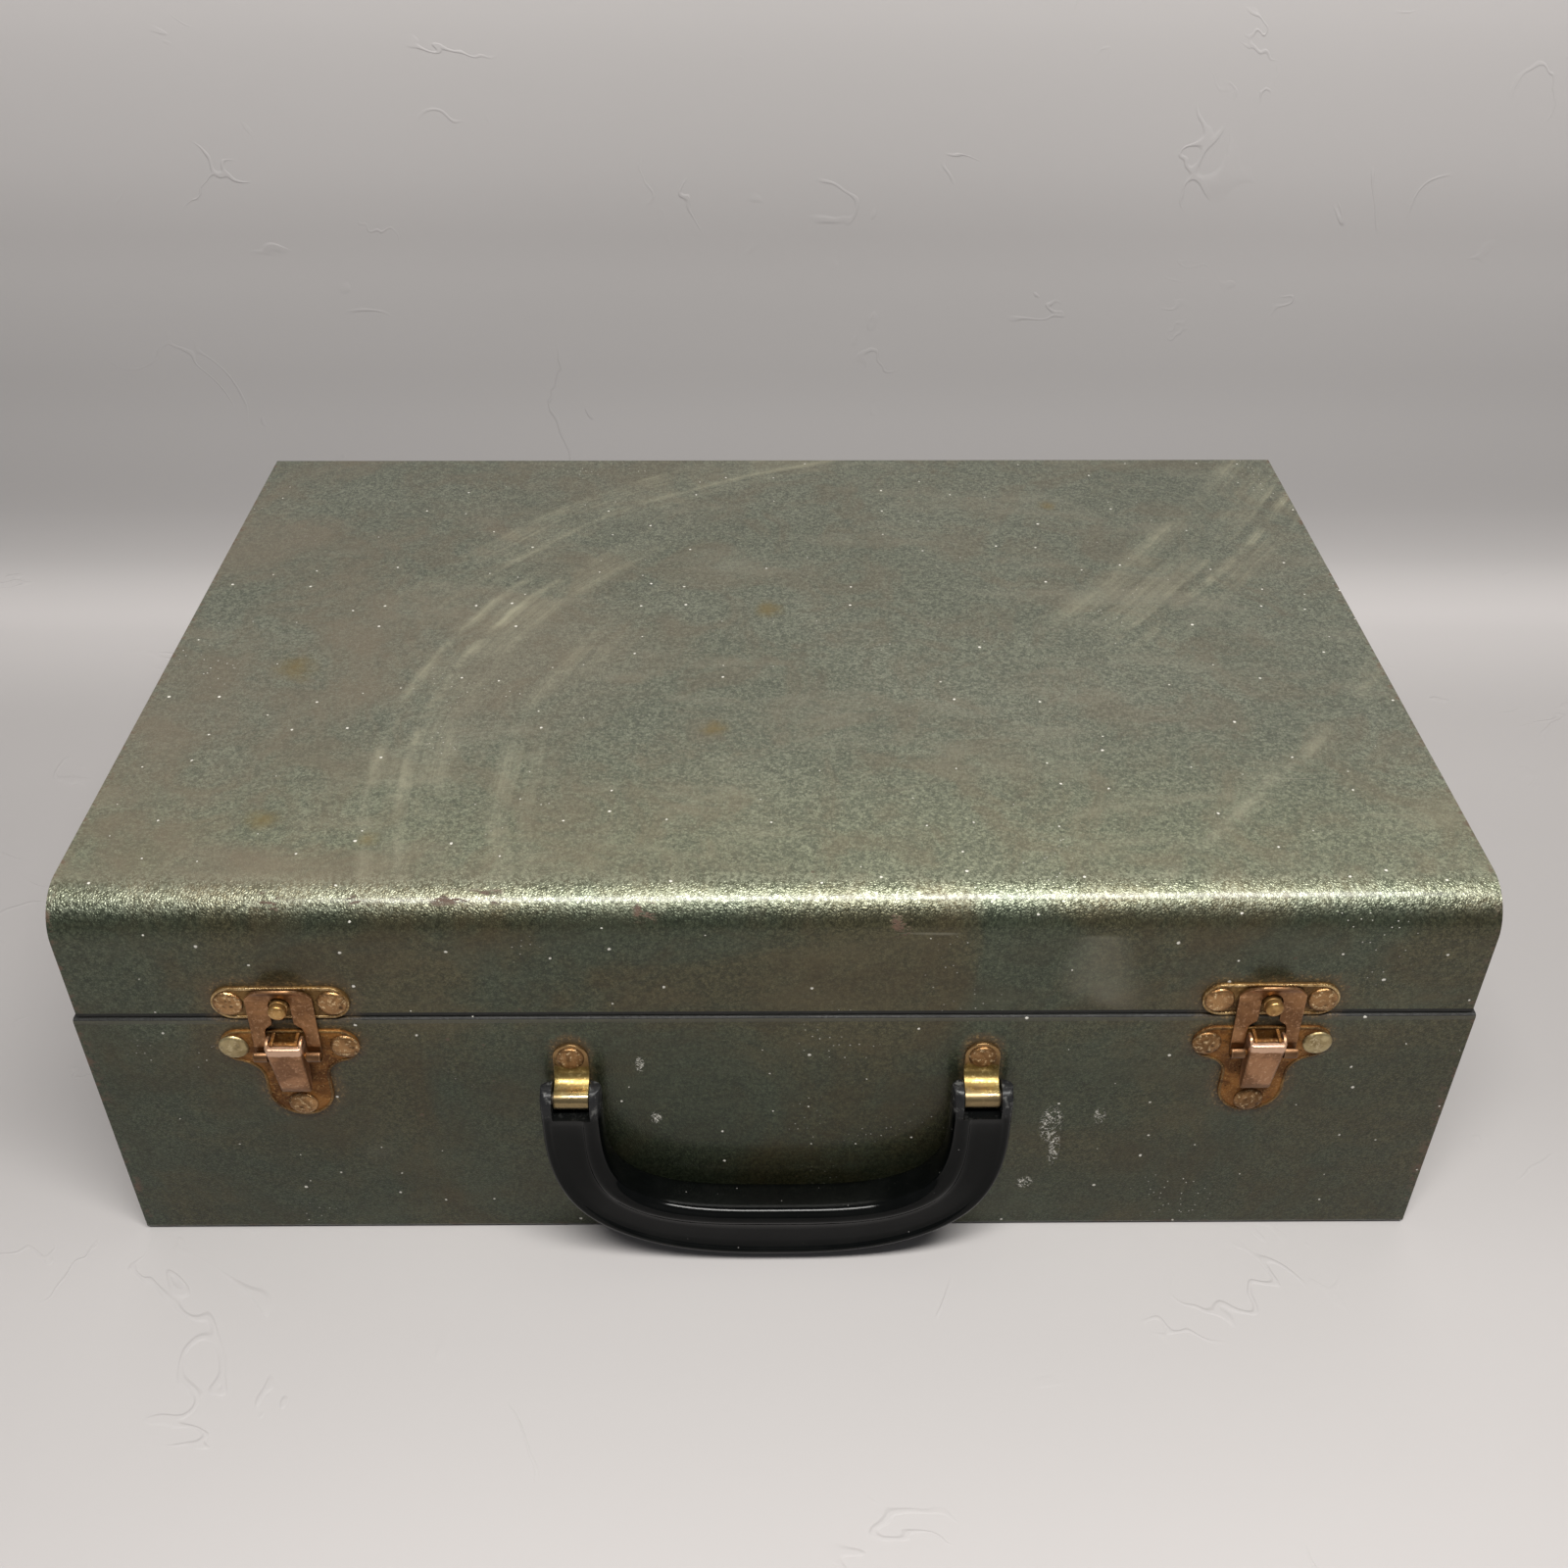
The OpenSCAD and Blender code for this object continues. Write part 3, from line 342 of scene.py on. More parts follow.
@dataclass(frozen=True)
class HammeredPaint:
    """Baked grey-green hammered enamel with flakes of metal in it, rubbed, stained and chipped, with painted
    shade on the front walls and at the seam and painted highlights along the lid's top front and rounded
    front edge.
    """

    name: str = "case_hammered_paint"
    base: Colour = (0.133, 0.148, 0.108)
    pale: Colour = (0.219, 0.232, 0.179)
    vein: Colour = (0.070, 0.078, 0.054)
    brown: Colour = (0.150, 0.122, 0.082)
    ochre: Colour = (0.17, 0.125, 0.035)
    rust: Colour = (0.098, 0.056, 0.032)
    deep_rust: Colour = (0.055, 0.032, 0.020)
    smeared: Colour = (0.235, 0.225, 0.165)
    drifted: Colour = (0.195, 0.160, 0.108)
    rubbed_light: Colour = (0.37, 0.36, 0.255)
    scratched: Colour = (0.27, 0.26, 0.2)
    # Painted light: the next colour is a painted highlight for the lid's rounded front edge.
    crowned: Colour = (0.40, 0.42, 0.33)
    # Painted shade and shadow at the hem and the seam.
    hem_dark: Colour = (0.050, 0.047, 0.033)
    seam_black: Colour = (0.004, 0.004, 0.003)
    bloom_dark: Colour = (0.050, 0.031, 0.012)
    bloom_light: Colour = (0.22, 0.135, 0.050)
    dust: Colour = (0.62, 0.60, 0.54)
    pebble: float = 1120.0
    metallic: float = 0.74
    roughness: float = 0.375
    scuffs: tuple[Scuff, ...] = ()
    halos: tuple[Halo, ...] = ()
    stains: tuple[tuple[Point3, float], ...] = ()
    chips: tuple[tuple[Point3, Point3], ...] = ()
    residue: tuple[tuple[float, float, float, float], ...] = ()
    half_width: float = 0.21
    front: float = -0.143
    rim: float = 0.098
    top: float = 0.142
    grime: float = 1.0

    def make(self) -> bpy.types.Material:
        """Builds the material.

        Returns:
            The finished paint.
        """
        g = Graph(self.name)
        x, y, z = g.axes()
        wander = g.vector("ADD", g.place, g.vector("MULTIPLY", self._jitter(g), (0.0012, 0.0012, 0.0012)))
        edge, _ = g.cells(self.pebble, "DISTANCE_TO_EDGE", wander)
        fine, shade = g.cells(self.pebble, "F1", wander)
        vein = g.product(g.step(edge, 0.17, 0.0), g.step(g.noise(260.0, 3.0), 0.18, 0.60))
        cloud = g.step(g.noise(9.0, 6.0, 0.62, distortion=0.7), 0.36, 0.66)
        blotch = g.step(g.noise(34.0, 6.0, 0.66, distortion=1.1), 0.43, 0.64)
        smear = g.step(g.noise(1.0, 5.0, 0.68, g.stretched((16.0, 46.0, 46.0), (0.0, 0.0, 0.25))), 0.50, 0.70)
        speck = g.step(g.noise(1500.0, 2.0), 0.5, 0.72)
        colour = g.blend(g.math("MULTIPLY", cloud, 0.5), self.base, self.pale)
        colour = g.blend(g.product(speck, 0.28), colour, self.pale)
        colour = g.blend(g.product(g.step(shade, 0.35, 1.0), 0.42), colour, self.pale)
        colour = g.blend(g.product(g.step(shade, 0.45, 0.0), 0.40), colour, self.vein)
        colour = g.blend(g.product(vein, 0.72), colour, self.vein)
        fleck = g.step(g.noise(820.0, 2.0, 0.6, wander), 0.37, 0.65)
        colour = g.vector("MULTIPLY", colour, g.blend(fleck, (0.74, 0.75, 0.74), (1.34, 1.33, 1.30)))
        colour = g.blend(g.product(blotch, 0.42 * self.grime), colour, self.brown)
        colour = g.blend(g.product(smear, 0.40), colour, self.smeared)
        # Painted highlight: the top just behind the lid's front edge is made lighter, standing for the
        # brighter light it catches there.
        painted_front_sheen = g.product(g.step(y, -0.045, self.front + 0.016), g.step(z, self.top - 0.004, self.top - 0.001))
        colour = g.blend(painted_front_sheen, colour, g.vector("MULTIPLY", colour, (1.17, 1.17, 1.07)))
        # Painted shade: the front walls are darkened by a tint, warmer in grimy patches, and the body's front
        # below the rim is darkened further.
        on_front = g.step(y, self.front + 0.014, self.front + 0.003)
        tint = g.blend(g.step(g.noise(13.0, 6.0, 0.66, distortion=0.8), 0.40, 0.62), (0.36, 0.40, 0.34),
                       (0.43, 0.37, 0.26))
        below_rim_shade = g.step(z, self.rim + 0.002, self.rim - 0.030)
        tint = g.blend(below_rim_shade, tint, g.vector("MULTIPLY", tint, (0.76, 0.78, 0.74)))
        colour = g.blend(on_front, colour, g.vector("MULTIPLY", colour, tint))
        drift = g.product(g.step(g.noise(11.0, 6.0, 0.66, distortion=0.5), 0.42, 0.62),
                          g.step(x, 0.03, -0.17),
                          g.math("SUBTRACT", 1.0, on_front), 0.62 * self.grime)
        colour = g.blend(drift, colour, self.drifted)
        for place, size in self.stains:
            wander_off = g.math("MULTIPLY", g.noise(95.0, 5.0, 0.7), 2.4 * size)
            near = g.step(g.math("ADD", g.vector("DISTANCE", g.place, place), wander_off), size * 2.5,
                          size * 0.9)
            colour = g.blend(g.product(near, 0.78), colour, self.ochre)
        rubbed: object = 0.0
        for scuff in self.scuffs:
            rubbed = g.math("MAXIMUM", rubbed, scuff.mask(g))
        colour = g.blend(g.product(rubbed, 0.92), colour, self.rubbed_light)
        scratch = self._scratches(g)
        colour = g.blend(g.product(scratch, 0.45), colour, self.scratched)
        # Painted highlight: a paler band along the lid's rounded front edge, where the lamp's highlight
        # falls.
        painted_highlight_band = g.product(g.step(z, self.top - 0.0075, self.top - 0.0030),
                          g.step(y, self.front + 0.017, self.front + 0.009))
        colour = g.blend(g.product(painted_highlight_band, g.step(fleck, 0.0, 1.0, 0.0, 0.28)), colour, self.crowned)
        bare = self._bare(g, x, y, z)
        colour = g.blend(bare, colour, g.blend(g.noise(500.0), self.rust, self.deep_rust))
        # Painted shade and shadow: a dark band on the hem at the rim, and a near-black line at the seam for
        # the shadow in the gap under the lid.
        hem_shade_band = g.window(z, self.rim - 0.0016, self.rim + 0.0015, 0.0004)
        colour = g.blend(g.product(hem_shade_band, 0.75), colour, self.hem_dark)
        seam_shadow_band = g.window(z, self.rim - 0.0004, self.rim + 0.0015, 0.0003)
        colour = g.blend(seam_shadow_band, colour, self.seam_black)
        bloom: object = 0.0
        for halo in self.halos:
            bloom = g.math("MAXIMUM", bloom, halo.mask(g))
        bloom = g.product(bloom, on_front)
        crusted = g.blend(g.step(g.noise(900.0, 4.0, 0.7), 0.50, 0.68), self.bloom_dark, self.bloom_light)
        colour = g.blend(g.product(bloom, 0.85), colour, crusted)
        dust = self._dust(g)
        colour = g.blend(dust, colour, self.dust)
        dull = g.math("MAXIMUM", g.math("MAXIMUM", bare, bloom), g.math("MAXIMUM", dust, g.product(hem_shade_band, 0.9)))
        rough = g.math("ADD", g.math("MULTIPLY", blotch, 0.10), self.roughness - 0.03)
        rough = g.math("ADD", rough, g.product(rubbed, 0.14))
        rough = g.math("ADD", rough, g.product(dull, 0.25), clamp=True)
        g.set(Base_Color=colour, Roughness=rough,
              Metallic=g.product(self.metallic, g.math("SUBTRACT", 1.0, dull, clamp=True)))
        g.set(Coat_Weight=g.product(g.math("SUBTRACT", 1.0, dull, clamp=True), 0.30))
        g.shader.inputs["Coat Roughness"].default_value = 0.17
        pebbles = g.math("ADD", g.step(edge, 0.0, 0.30), g.product(g.math("SUBTRACT", 1.0, fine), 0.25))
        bumps = g.relief(pebbles, 0.00009, 0.55)
        bumps = g.relief(g.noise(2600.0, 2.0), 0.00006, 0.5, bumps)
        bumps = g.relief(g.product(dull, g.noise(1100.0, 3.0)), 0.0002, 0.6, bumps)
        bumps = g.relief(g.noise(7.0, 2.0), 0.0012, 0.22, bumps)
        g.set(Normal=bumps)
        return g.material

    def _jitter(self, g: Graph) -> bpy.types.NodeSocket:
        """A vector that wanders from place to place, so that the pebbles aren't regular."""
        node = g.tree.nodes.new("ShaderNodeTexNoise")
        g.plug(node.inputs["Vector"], g.place)
        node.inputs["Scale"].default_value = 420.0
        node.inputs["Detail"].default_value = 2.0
        return g.vector("SUBTRACT", node.outputs["Color"], (0.5, 0.5, 0.5))

    def _scratches(self, g: Graph) -> bpy.types.NodeSocket:
        """Long fine scratches in two directions, broken up by noise."""
        total: object = 0.0
        for turn, length in ((0.55, 9.0), (-0.95, 7.0), (1.35, 12.0)):
            at = g.stretched((length, 900.0, length), (0.0, 0.0, turn))
            line = g.step(g.noise(1.0, 2.0, 0.5, at), 0.70, 0.76)
            patch = g.step(g.noise(14.0 + length, 2.0), 0.55, 0.64)
            total = g.math("MAXIMUM", total, g.product(line, patch))
        return total

    def _bare(self, g: Graph, x: object, y: object, z: object) -> bpy.types.NodeSocket:
        """Where the paint has chipped to rust: along the ends' edges, at the rim, and in the stated chips.

        Args:
            g: the paint's nodes.
            x: the place's X.
            y: the place's Y.
            z: the place's Z.

        Returns:
            1 where the steel is bare and rusted.
        """
        ends = g.step(g.math("ABSOLUTE", x), self.half_width - 0.0042, self.half_width - 0.0012)
        ragged = g.step(g.noise(240.0, 5.0, 0.75), 0.50, 0.60)
        facing = g.tree.nodes.new("ShaderNodeTexCoord").outputs["Normal"]
        faced = g.step(g.math("ABSOLUTE", g.vector("DOT_PRODUCT", facing, (1.0, 0.0, 0.0))), 0.9, 0.6)
        worn = g.product(ends, ragged, faced, 0.85)
        near_rim = g.window(z, self.rim - 0.0012, self.rim + 0.0016, 0.0010)
        worn = g.math("MAXIMUM", worn, g.product(near_rim, g.step(g.noise(170.0, 5.0, 0.7), 0.60, 0.68), 0.8))
        foot = g.step(z, 0.0035, 0.0008)
        worn = g.math("MAXIMUM", worn, g.product(foot, g.step(g.noise(150.0, 5.0, 0.7), 0.53, 0.62), 0.8))
        pin_holes, _ = g.cells(95.0)
        pits = g.product(g.step(pin_holes, 0.075, 0.045), g.step(g.noise(11.0, 2.0), 0.55, 0.66), 0.8)
        worn = g.math("MAXIMUM", worn, pits)
        for low, high in self.chips:
            inside = g.product(g.window(x, low[0], high[0], 0.002), g.window(y, low[1], high[1], 0.0015),
                               g.window(z, low[2], high[2], 0.0015))
            flakes = g.noise(1.0, 5.0, 0.7, g.stretched((170.0, 420.0, 420.0)))
            worn = g.math("MAXIMUM", worn, g.product(inside, g.step(flakes, 0.53, 0.57)))
        return g.math("MINIMUM", worn, 1.0)

    def _dust(self, g: Graph) -> bpy.types.NodeSocket:
        """Scattered pale specks on the sheet's outer face, thicker in a few patches.

        Args:
            g: the paint's nodes.

        Returns:
            0.9 on a speck and 0 beside it.
        """
        x, y, z = g.axes()
        sheet = g.tree.nodes.new("ShaderNodeCombineXYZ")
        g.plug(sheet.inputs[0], x)
        g.plug(sheet.inputs[1], g.math("ADD", y, z))
        end = g.tree.nodes.new("ShaderNodeCombineXYZ")
        g.plug(end.inputs[0], y)
        g.plug(end.inputs[1], z)
        on_end = g.math("GREATER_THAN", g.math("ABSOLUTE", x), self.half_width - 0.0005)
        unrolled = g.blend(on_end, sheet.outputs[0], end.outputs[0])
        near, tint = g.cells(66.0, at=unrolled, flat=True)
        shown = g.math("GREATER_THAN", g.vector("DOT_PRODUCT", tint, (1.0, 0.0, 0.0)), 0.62)
        size = g.math("ADD", g.vector("DOT_PRODUCT", tint, (0.0, 0.75, 0.0)), 0.35)
        ragged = g.math("ADD", near, g.product(g.math("SUBTRACT", g.noise(1500.0, 3.0, 0.7), 0.5), 0.05))
        few = g.product(g.step(g.math("DIVIDE", ragged, size), 0.040, 0.022), shown)
        near_small, tint_small = g.cells(340.0, at=unrolled, flat=True)
        patch = g.step(g.noise(17.0, 3.0, 0.6), 0.60, 0.70)
        many = g.product(g.step(near_small, 0.10, 0.05), g.math("GREATER_THAN", tint_small, 0.55), patch)
        outer = g.math("LESS_THAN", g.math("ABSOLUTE", g.math("SUBTRACT", z, self.top / 2)),
                       self.top / 2 + 0.001)
        spilt = self._residue(g, x, y, z)
        return g.product(g.math("MAXIMUM", g.math("MAXIMUM", few, many), spilt), outer, 0.9)

    def _residue(self, g: Graph, x: object, y: object, z: object) -> bpy.types.NodeSocket:
        """Dried pale drips and crumbs stuck to the front wall at the stated places.

        Args:
            g: the paint's nodes.
            x: the place's X.
            y: the place's Y.
            z: the place's Z.

        Returns:
            1 on a drip or crumb.
        """
        total: object = 0.0
        on_front = g.step(y, self.front + 0.003, self.front + 0.001)
        crumbs = g.step(g.noise(620.0, 4.0, 0.7, distortion=1.2), 0.58, 0.62)
        threads = g.window(g.noise(210.0, 3.0, 0.6, distortion=1.6), 0.485, 0.500, 0.006)
        for px, pz, half_w, half_h in self.residue:
            dx = g.math("DIVIDE", g.math("SUBTRACT", x, px), half_w)
            dz = g.math("DIVIDE", g.math("SUBTRACT", z, pz), half_h)
            away = g.math("ADD", g.product(dx, dx), g.product(dz, dz))
            total = g.math("MAXIMUM", total, g.step(away, 1.1, 0.4))
        return g.product(total, g.math("MAXIMUM", crumbs, threads), on_front)


@dataclass(frozen=True)
class TrayPaint:
    """Smooth grey-green enamel inside the case, with storage rubs and brown stains."""

    name: str
    base: Colour = (0.13, 0.14, 0.11)

    def make(self) -> bpy.types.Material:
        """Builds the material.

        Returns:
            The finished material.
        """
        g = Graph(self.name)
        cloud = g.step(g.noise(22.0, 5.0, 0.6), 0.35, 0.68)
        orange_peel = g.noise(900.0, 2.0)
        rub = g.step(g.noise(1.0, 3.0, 0.6, g.stretched((16.0, 500.0, 60.0), (0.0, 0.0, 0.6))), 0.66, 0.76)
        colour = g.blend(cloud, self.base, tuple(c * 1.45 for c in self.base))
        colour = g.blend(g.product(rub, 0.35), colour, (0.33, 0.32, 0.27))
        stain = g.step(g.noise(60.0, 5.0, 0.7), 0.62, 0.72)
        colour = g.blend(g.product(stain, 0.5), colour, (0.14, 0.085, 0.04))
        g.set(Base_Color=colour, Metallic=0.2, Roughness=g.math("ADD", g.product(cloud, 0.14), 0.36))
        g.set(Normal=g.relief(g.noise(2200.0, 2.0), 0.00004, 0.5, g.relief(orange_peel, 0.00010, 0.5)))
        return g.material


@dataclass(frozen=True)
class AgedMetal:
    """A plated or bare metal that has tarnished and rusted in grains, patches and pits."""

    name: str
    bright: Colour
    middle: Colour
    dark: Colour
    grain: float = 1400.0
    pits: float = 0.5
    metallic: float = 0.75
    roughness: float = 0.42
    depth: float = 0.00012
    patch: float = 120.0
    brushed: float = 0.0
    edge_light: float = 0.0
    # Bands by height, as [low, high, colour, strength]: real tarnish on the straps, and painted highlight and
    # painted shade on the latch's lever and hasp.
    zones: tuple[tuple[float, float, Colour, float], ...] = ()

    def make(self) -> bpy.types.Material:
        """Builds the material.

        Returns:
            The finished material.
        """
        g = Graph(self.name)
        patch = g.step(g.noise(self.patch, 5.0, 0.65, distortion=0.7), 0.36, 0.64)
        grain = g.noise(self.grain, 4.0, 0.7)
        glint = g.step(grain, 0.52, 0.70)
        pit_near, _ = g.cells(self.grain * 0.55)
        pit = g.product(g.step(pit_near, 0.42, 0.12), g.step(g.noise(self.patch * 2.2, 3.0), 0.45, 0.62),
                        self.pits)
        colour = g.blend(patch, self.middle, self.dark)
        colour = g.blend(g.product(glint, 0.65), colour, self.bright)
        colour = g.blend(pit, colour, tuple(c * 0.35 for c in self.dark))
        if self.brushed:
            lines = g.step(g.noise(1.0, 3.0, 0.6, g.stretched((2600.0, 60.0, 60.0))), 0.45, 0.68)
            colour = g.blend(g.product(lines, self.brushed), colour, self.dark)
        height = g.axes()[2]
        # Each band blends in its colour: tarnish on the straps, painted highlight and painted shade on the
        # lever and hasp.
        for low, high, tarnish_and_painted_light, strength in self.zones:
            ragged = g.math("ADD", height, g.product(g.math("SUBTRACT", g.noise(300.0, 4.0), 0.5), 0.002))
            colour = g.blend(g.product(g.window(ragged, low, high, 0.0008), strength), colour, tarnish_and_painted_light)
        # Painted highlight: convex edges, found by pointiness, take the bright colour.
        if self.edge_light:
            worn = g.tree.nodes.new("ShaderNodeNewGeometry").outputs["Pointiness"]
            colour = g.blend(g.product(g.step(worn, 0.52, 0.60), self.edge_light), colour, self.bright)
        rough = g.math("ADD", g.product(patch, 0.16), self.roughness)
        rough = g.math("ADD", rough, g.product(pit, 0.2), clamp=True)
        g.set(Base_Color=colour, Roughness=rough, Metallic=self.metallic)
        bumps = g.relief(g.math("SUBTRACT", grain, g.product(pit, 0.6)), self.depth, 0.7)
        g.set(Normal=g.relief(g.noise(self.patch * 3.0, 3.0), 0.00025, 0.35, bumps))
        return g.material


@dataclass(frozen=True)
class MouldedPlastic:
    """Glossy black moulded plastic with handling haze and a little dust."""

    name: str = "handle_black_plastic"
    lugs_above: float = 0.066

    def make(self) -> bpy.types.Material:
        """Builds the material.

        Returns:
            The finished material.
        """
        g = Graph(self.name)
        haze = g.step(g.noise(70.0, 5.0, 0.65), 0.40, 0.70)
        near, tint = g.cells(420.0)
        dust = g.product(g.step(near, 0.12, 0.05), g.math("GREATER_THAN", tint, 0.80))
        lint = g.product(g.step(g.noise(900.0, 4.0, 0.7), 0.64, 0.74), g.step(g.noise(60.0, 3.0), 0.5, 0.66))
        colour = g.blend(g.product(haze, 0.5), (0.0016, 0.0019, 0.0018), (0.0042, 0.0046, 0.0043))
        colour = g.blend(g.math("MAXIMUM", g.product(dust, 0.5), g.product(lint, 0.04)), colour,
                         (0.30, 0.29, 0.27))
        worn = g.product(g.step(g.axes()[2], self.lugs_above - 0.002, self.lugs_above + 0.003), 0.7)
        spots = g.step(g.noise(420.0, 4.0, 0.7), 0.52, 0.66)
        colour = g.blend(worn, colour, g.blend(spots, (0.020, 0.020, 0.021), (0.12, 0.12, 0.115)))
        rough = g.math("ADD", g.product(haze, 0.09), 0.06)
        g.set(Base_Color=colour, Roughness=g.math("ADD", rough, g.product(worn, 0.28)))
        g.shader.inputs["Specular IOR Level"].default_value = 0.13
        bumps = g.relief(g.noise(260.0, 2.0), 0.00010, 0.16)
        g.set(Normal=g.relief(g.noise(1800.0, 2.0), 0.00002, 0.4, bumps))
        return g.material


@dataclass(frozen=True)
class StudioPaper:
    """Pale paper for floor and backdrop: faintly creased, with painted shade and light graded from front to
    back and painted shade towards the floor's sides, clear from behind.
    """

    name: str = "studio_paper"
    tone: Colour = (0.470, 0.450, 0.446)
    shades: tuple[tuple[float, float], ...] = ((-1.0, 1.0), (1.0, 1.0))

    def make(self) -> bpy.types.Material:
        """Builds the material.

        Returns:
            The finished material.
        """
        g = Graph(self.name)
        cloud = g.noise(3.0, 4.0, 0.5)
        colour = g.blend(g.product(cloud, 0.5), self.tone, tuple(c * 0.95 for c in self.tone))
        x, y, z = g.axes()
        first, last = self.shades[0][0], self.shades[-1][0]
        ramp = g.tree.nodes.new("ShaderNodeValToRGB")
        ramp.color_ramp.interpolation = "CARDINAL"
        stops = ramp.color_ramp.elements
        for i, (place, shade) in enumerate(self.shades):
            stop = stops[i] if i < 2 else stops.new(1.0)
            stop.position = (place - first) / (last - first)
        for stop, (place, shade) in zip(sorted(stops, key=lambda e: e.position), self.shades):
            stop.color = (shade / 2, shade / 2, shade / 2, 1.0)
        # Painted shade and light: the paper's brightness follows the ramp along depth plus height.
        along = g.math("DIVIDE", g.math("SUBTRACT", g.math("ADD", y, z), first), last - first, clamp=True)
        g.plug(ramp.inputs[0], along)
        shade = g.vector("MULTIPLY", ramp.outputs[0], (2.0, 2.0, 2.0))
        # Painted shade: the floor in front darkens towards its left and right.
        painted_side_shade = g.product(g.step(x, -0.34, -0.08, 0.885, 1.0), g.step(x, 0.36, 0.10, 0.925, 1.0))
        side_shaded = g.vector("MULTIPLY", shade, g.blend(painted_side_shade, (0.0, 0.0, 0.0), (1.0, 1.0, 1.0)))
        shade = g.blend(g.step(y, 0.24, 0.06), shade, side_shaded)
        fold = g.window(g.noise(11.0, 3.0, 0.6, distortion=1.0), 0.497, 0.503, 0.008)
        fold = g.product(fold, g.step(g.noise(15.0, 2.0, 0.5), 0.55, 0.66))
        creases = g.relief(g.noise(26.0, 4.0, 0.6), 0.0006, 0.22, g.relief(fold, 0.0010, 0.35))
        g.set(Base_Color=g.vector("MULTIPLY", colour, shade), Roughness=0.62, Normal=creases)
        g.shader.inputs["Specular IOR Level"].default_value = 0.25
        clear = g.tree.nodes.new("ShaderNodeBsdfTransparent")
        one_sided = g.tree.nodes.new("ShaderNodeMixShader")
        g.plug(one_sided.inputs[0], g.tree.nodes.new("ShaderNodeNewGeometry").outputs["Backfacing"])
        g.plug(one_sided.inputs[1], g.shader.outputs[0])
        g.plug(one_sided.inputs[2], clear.outputs[0])
        g.plug(g.output.inputs[0], one_sided.outputs[0])
        return g.material


# ---------------------------------------------------------------- materials of the whole case


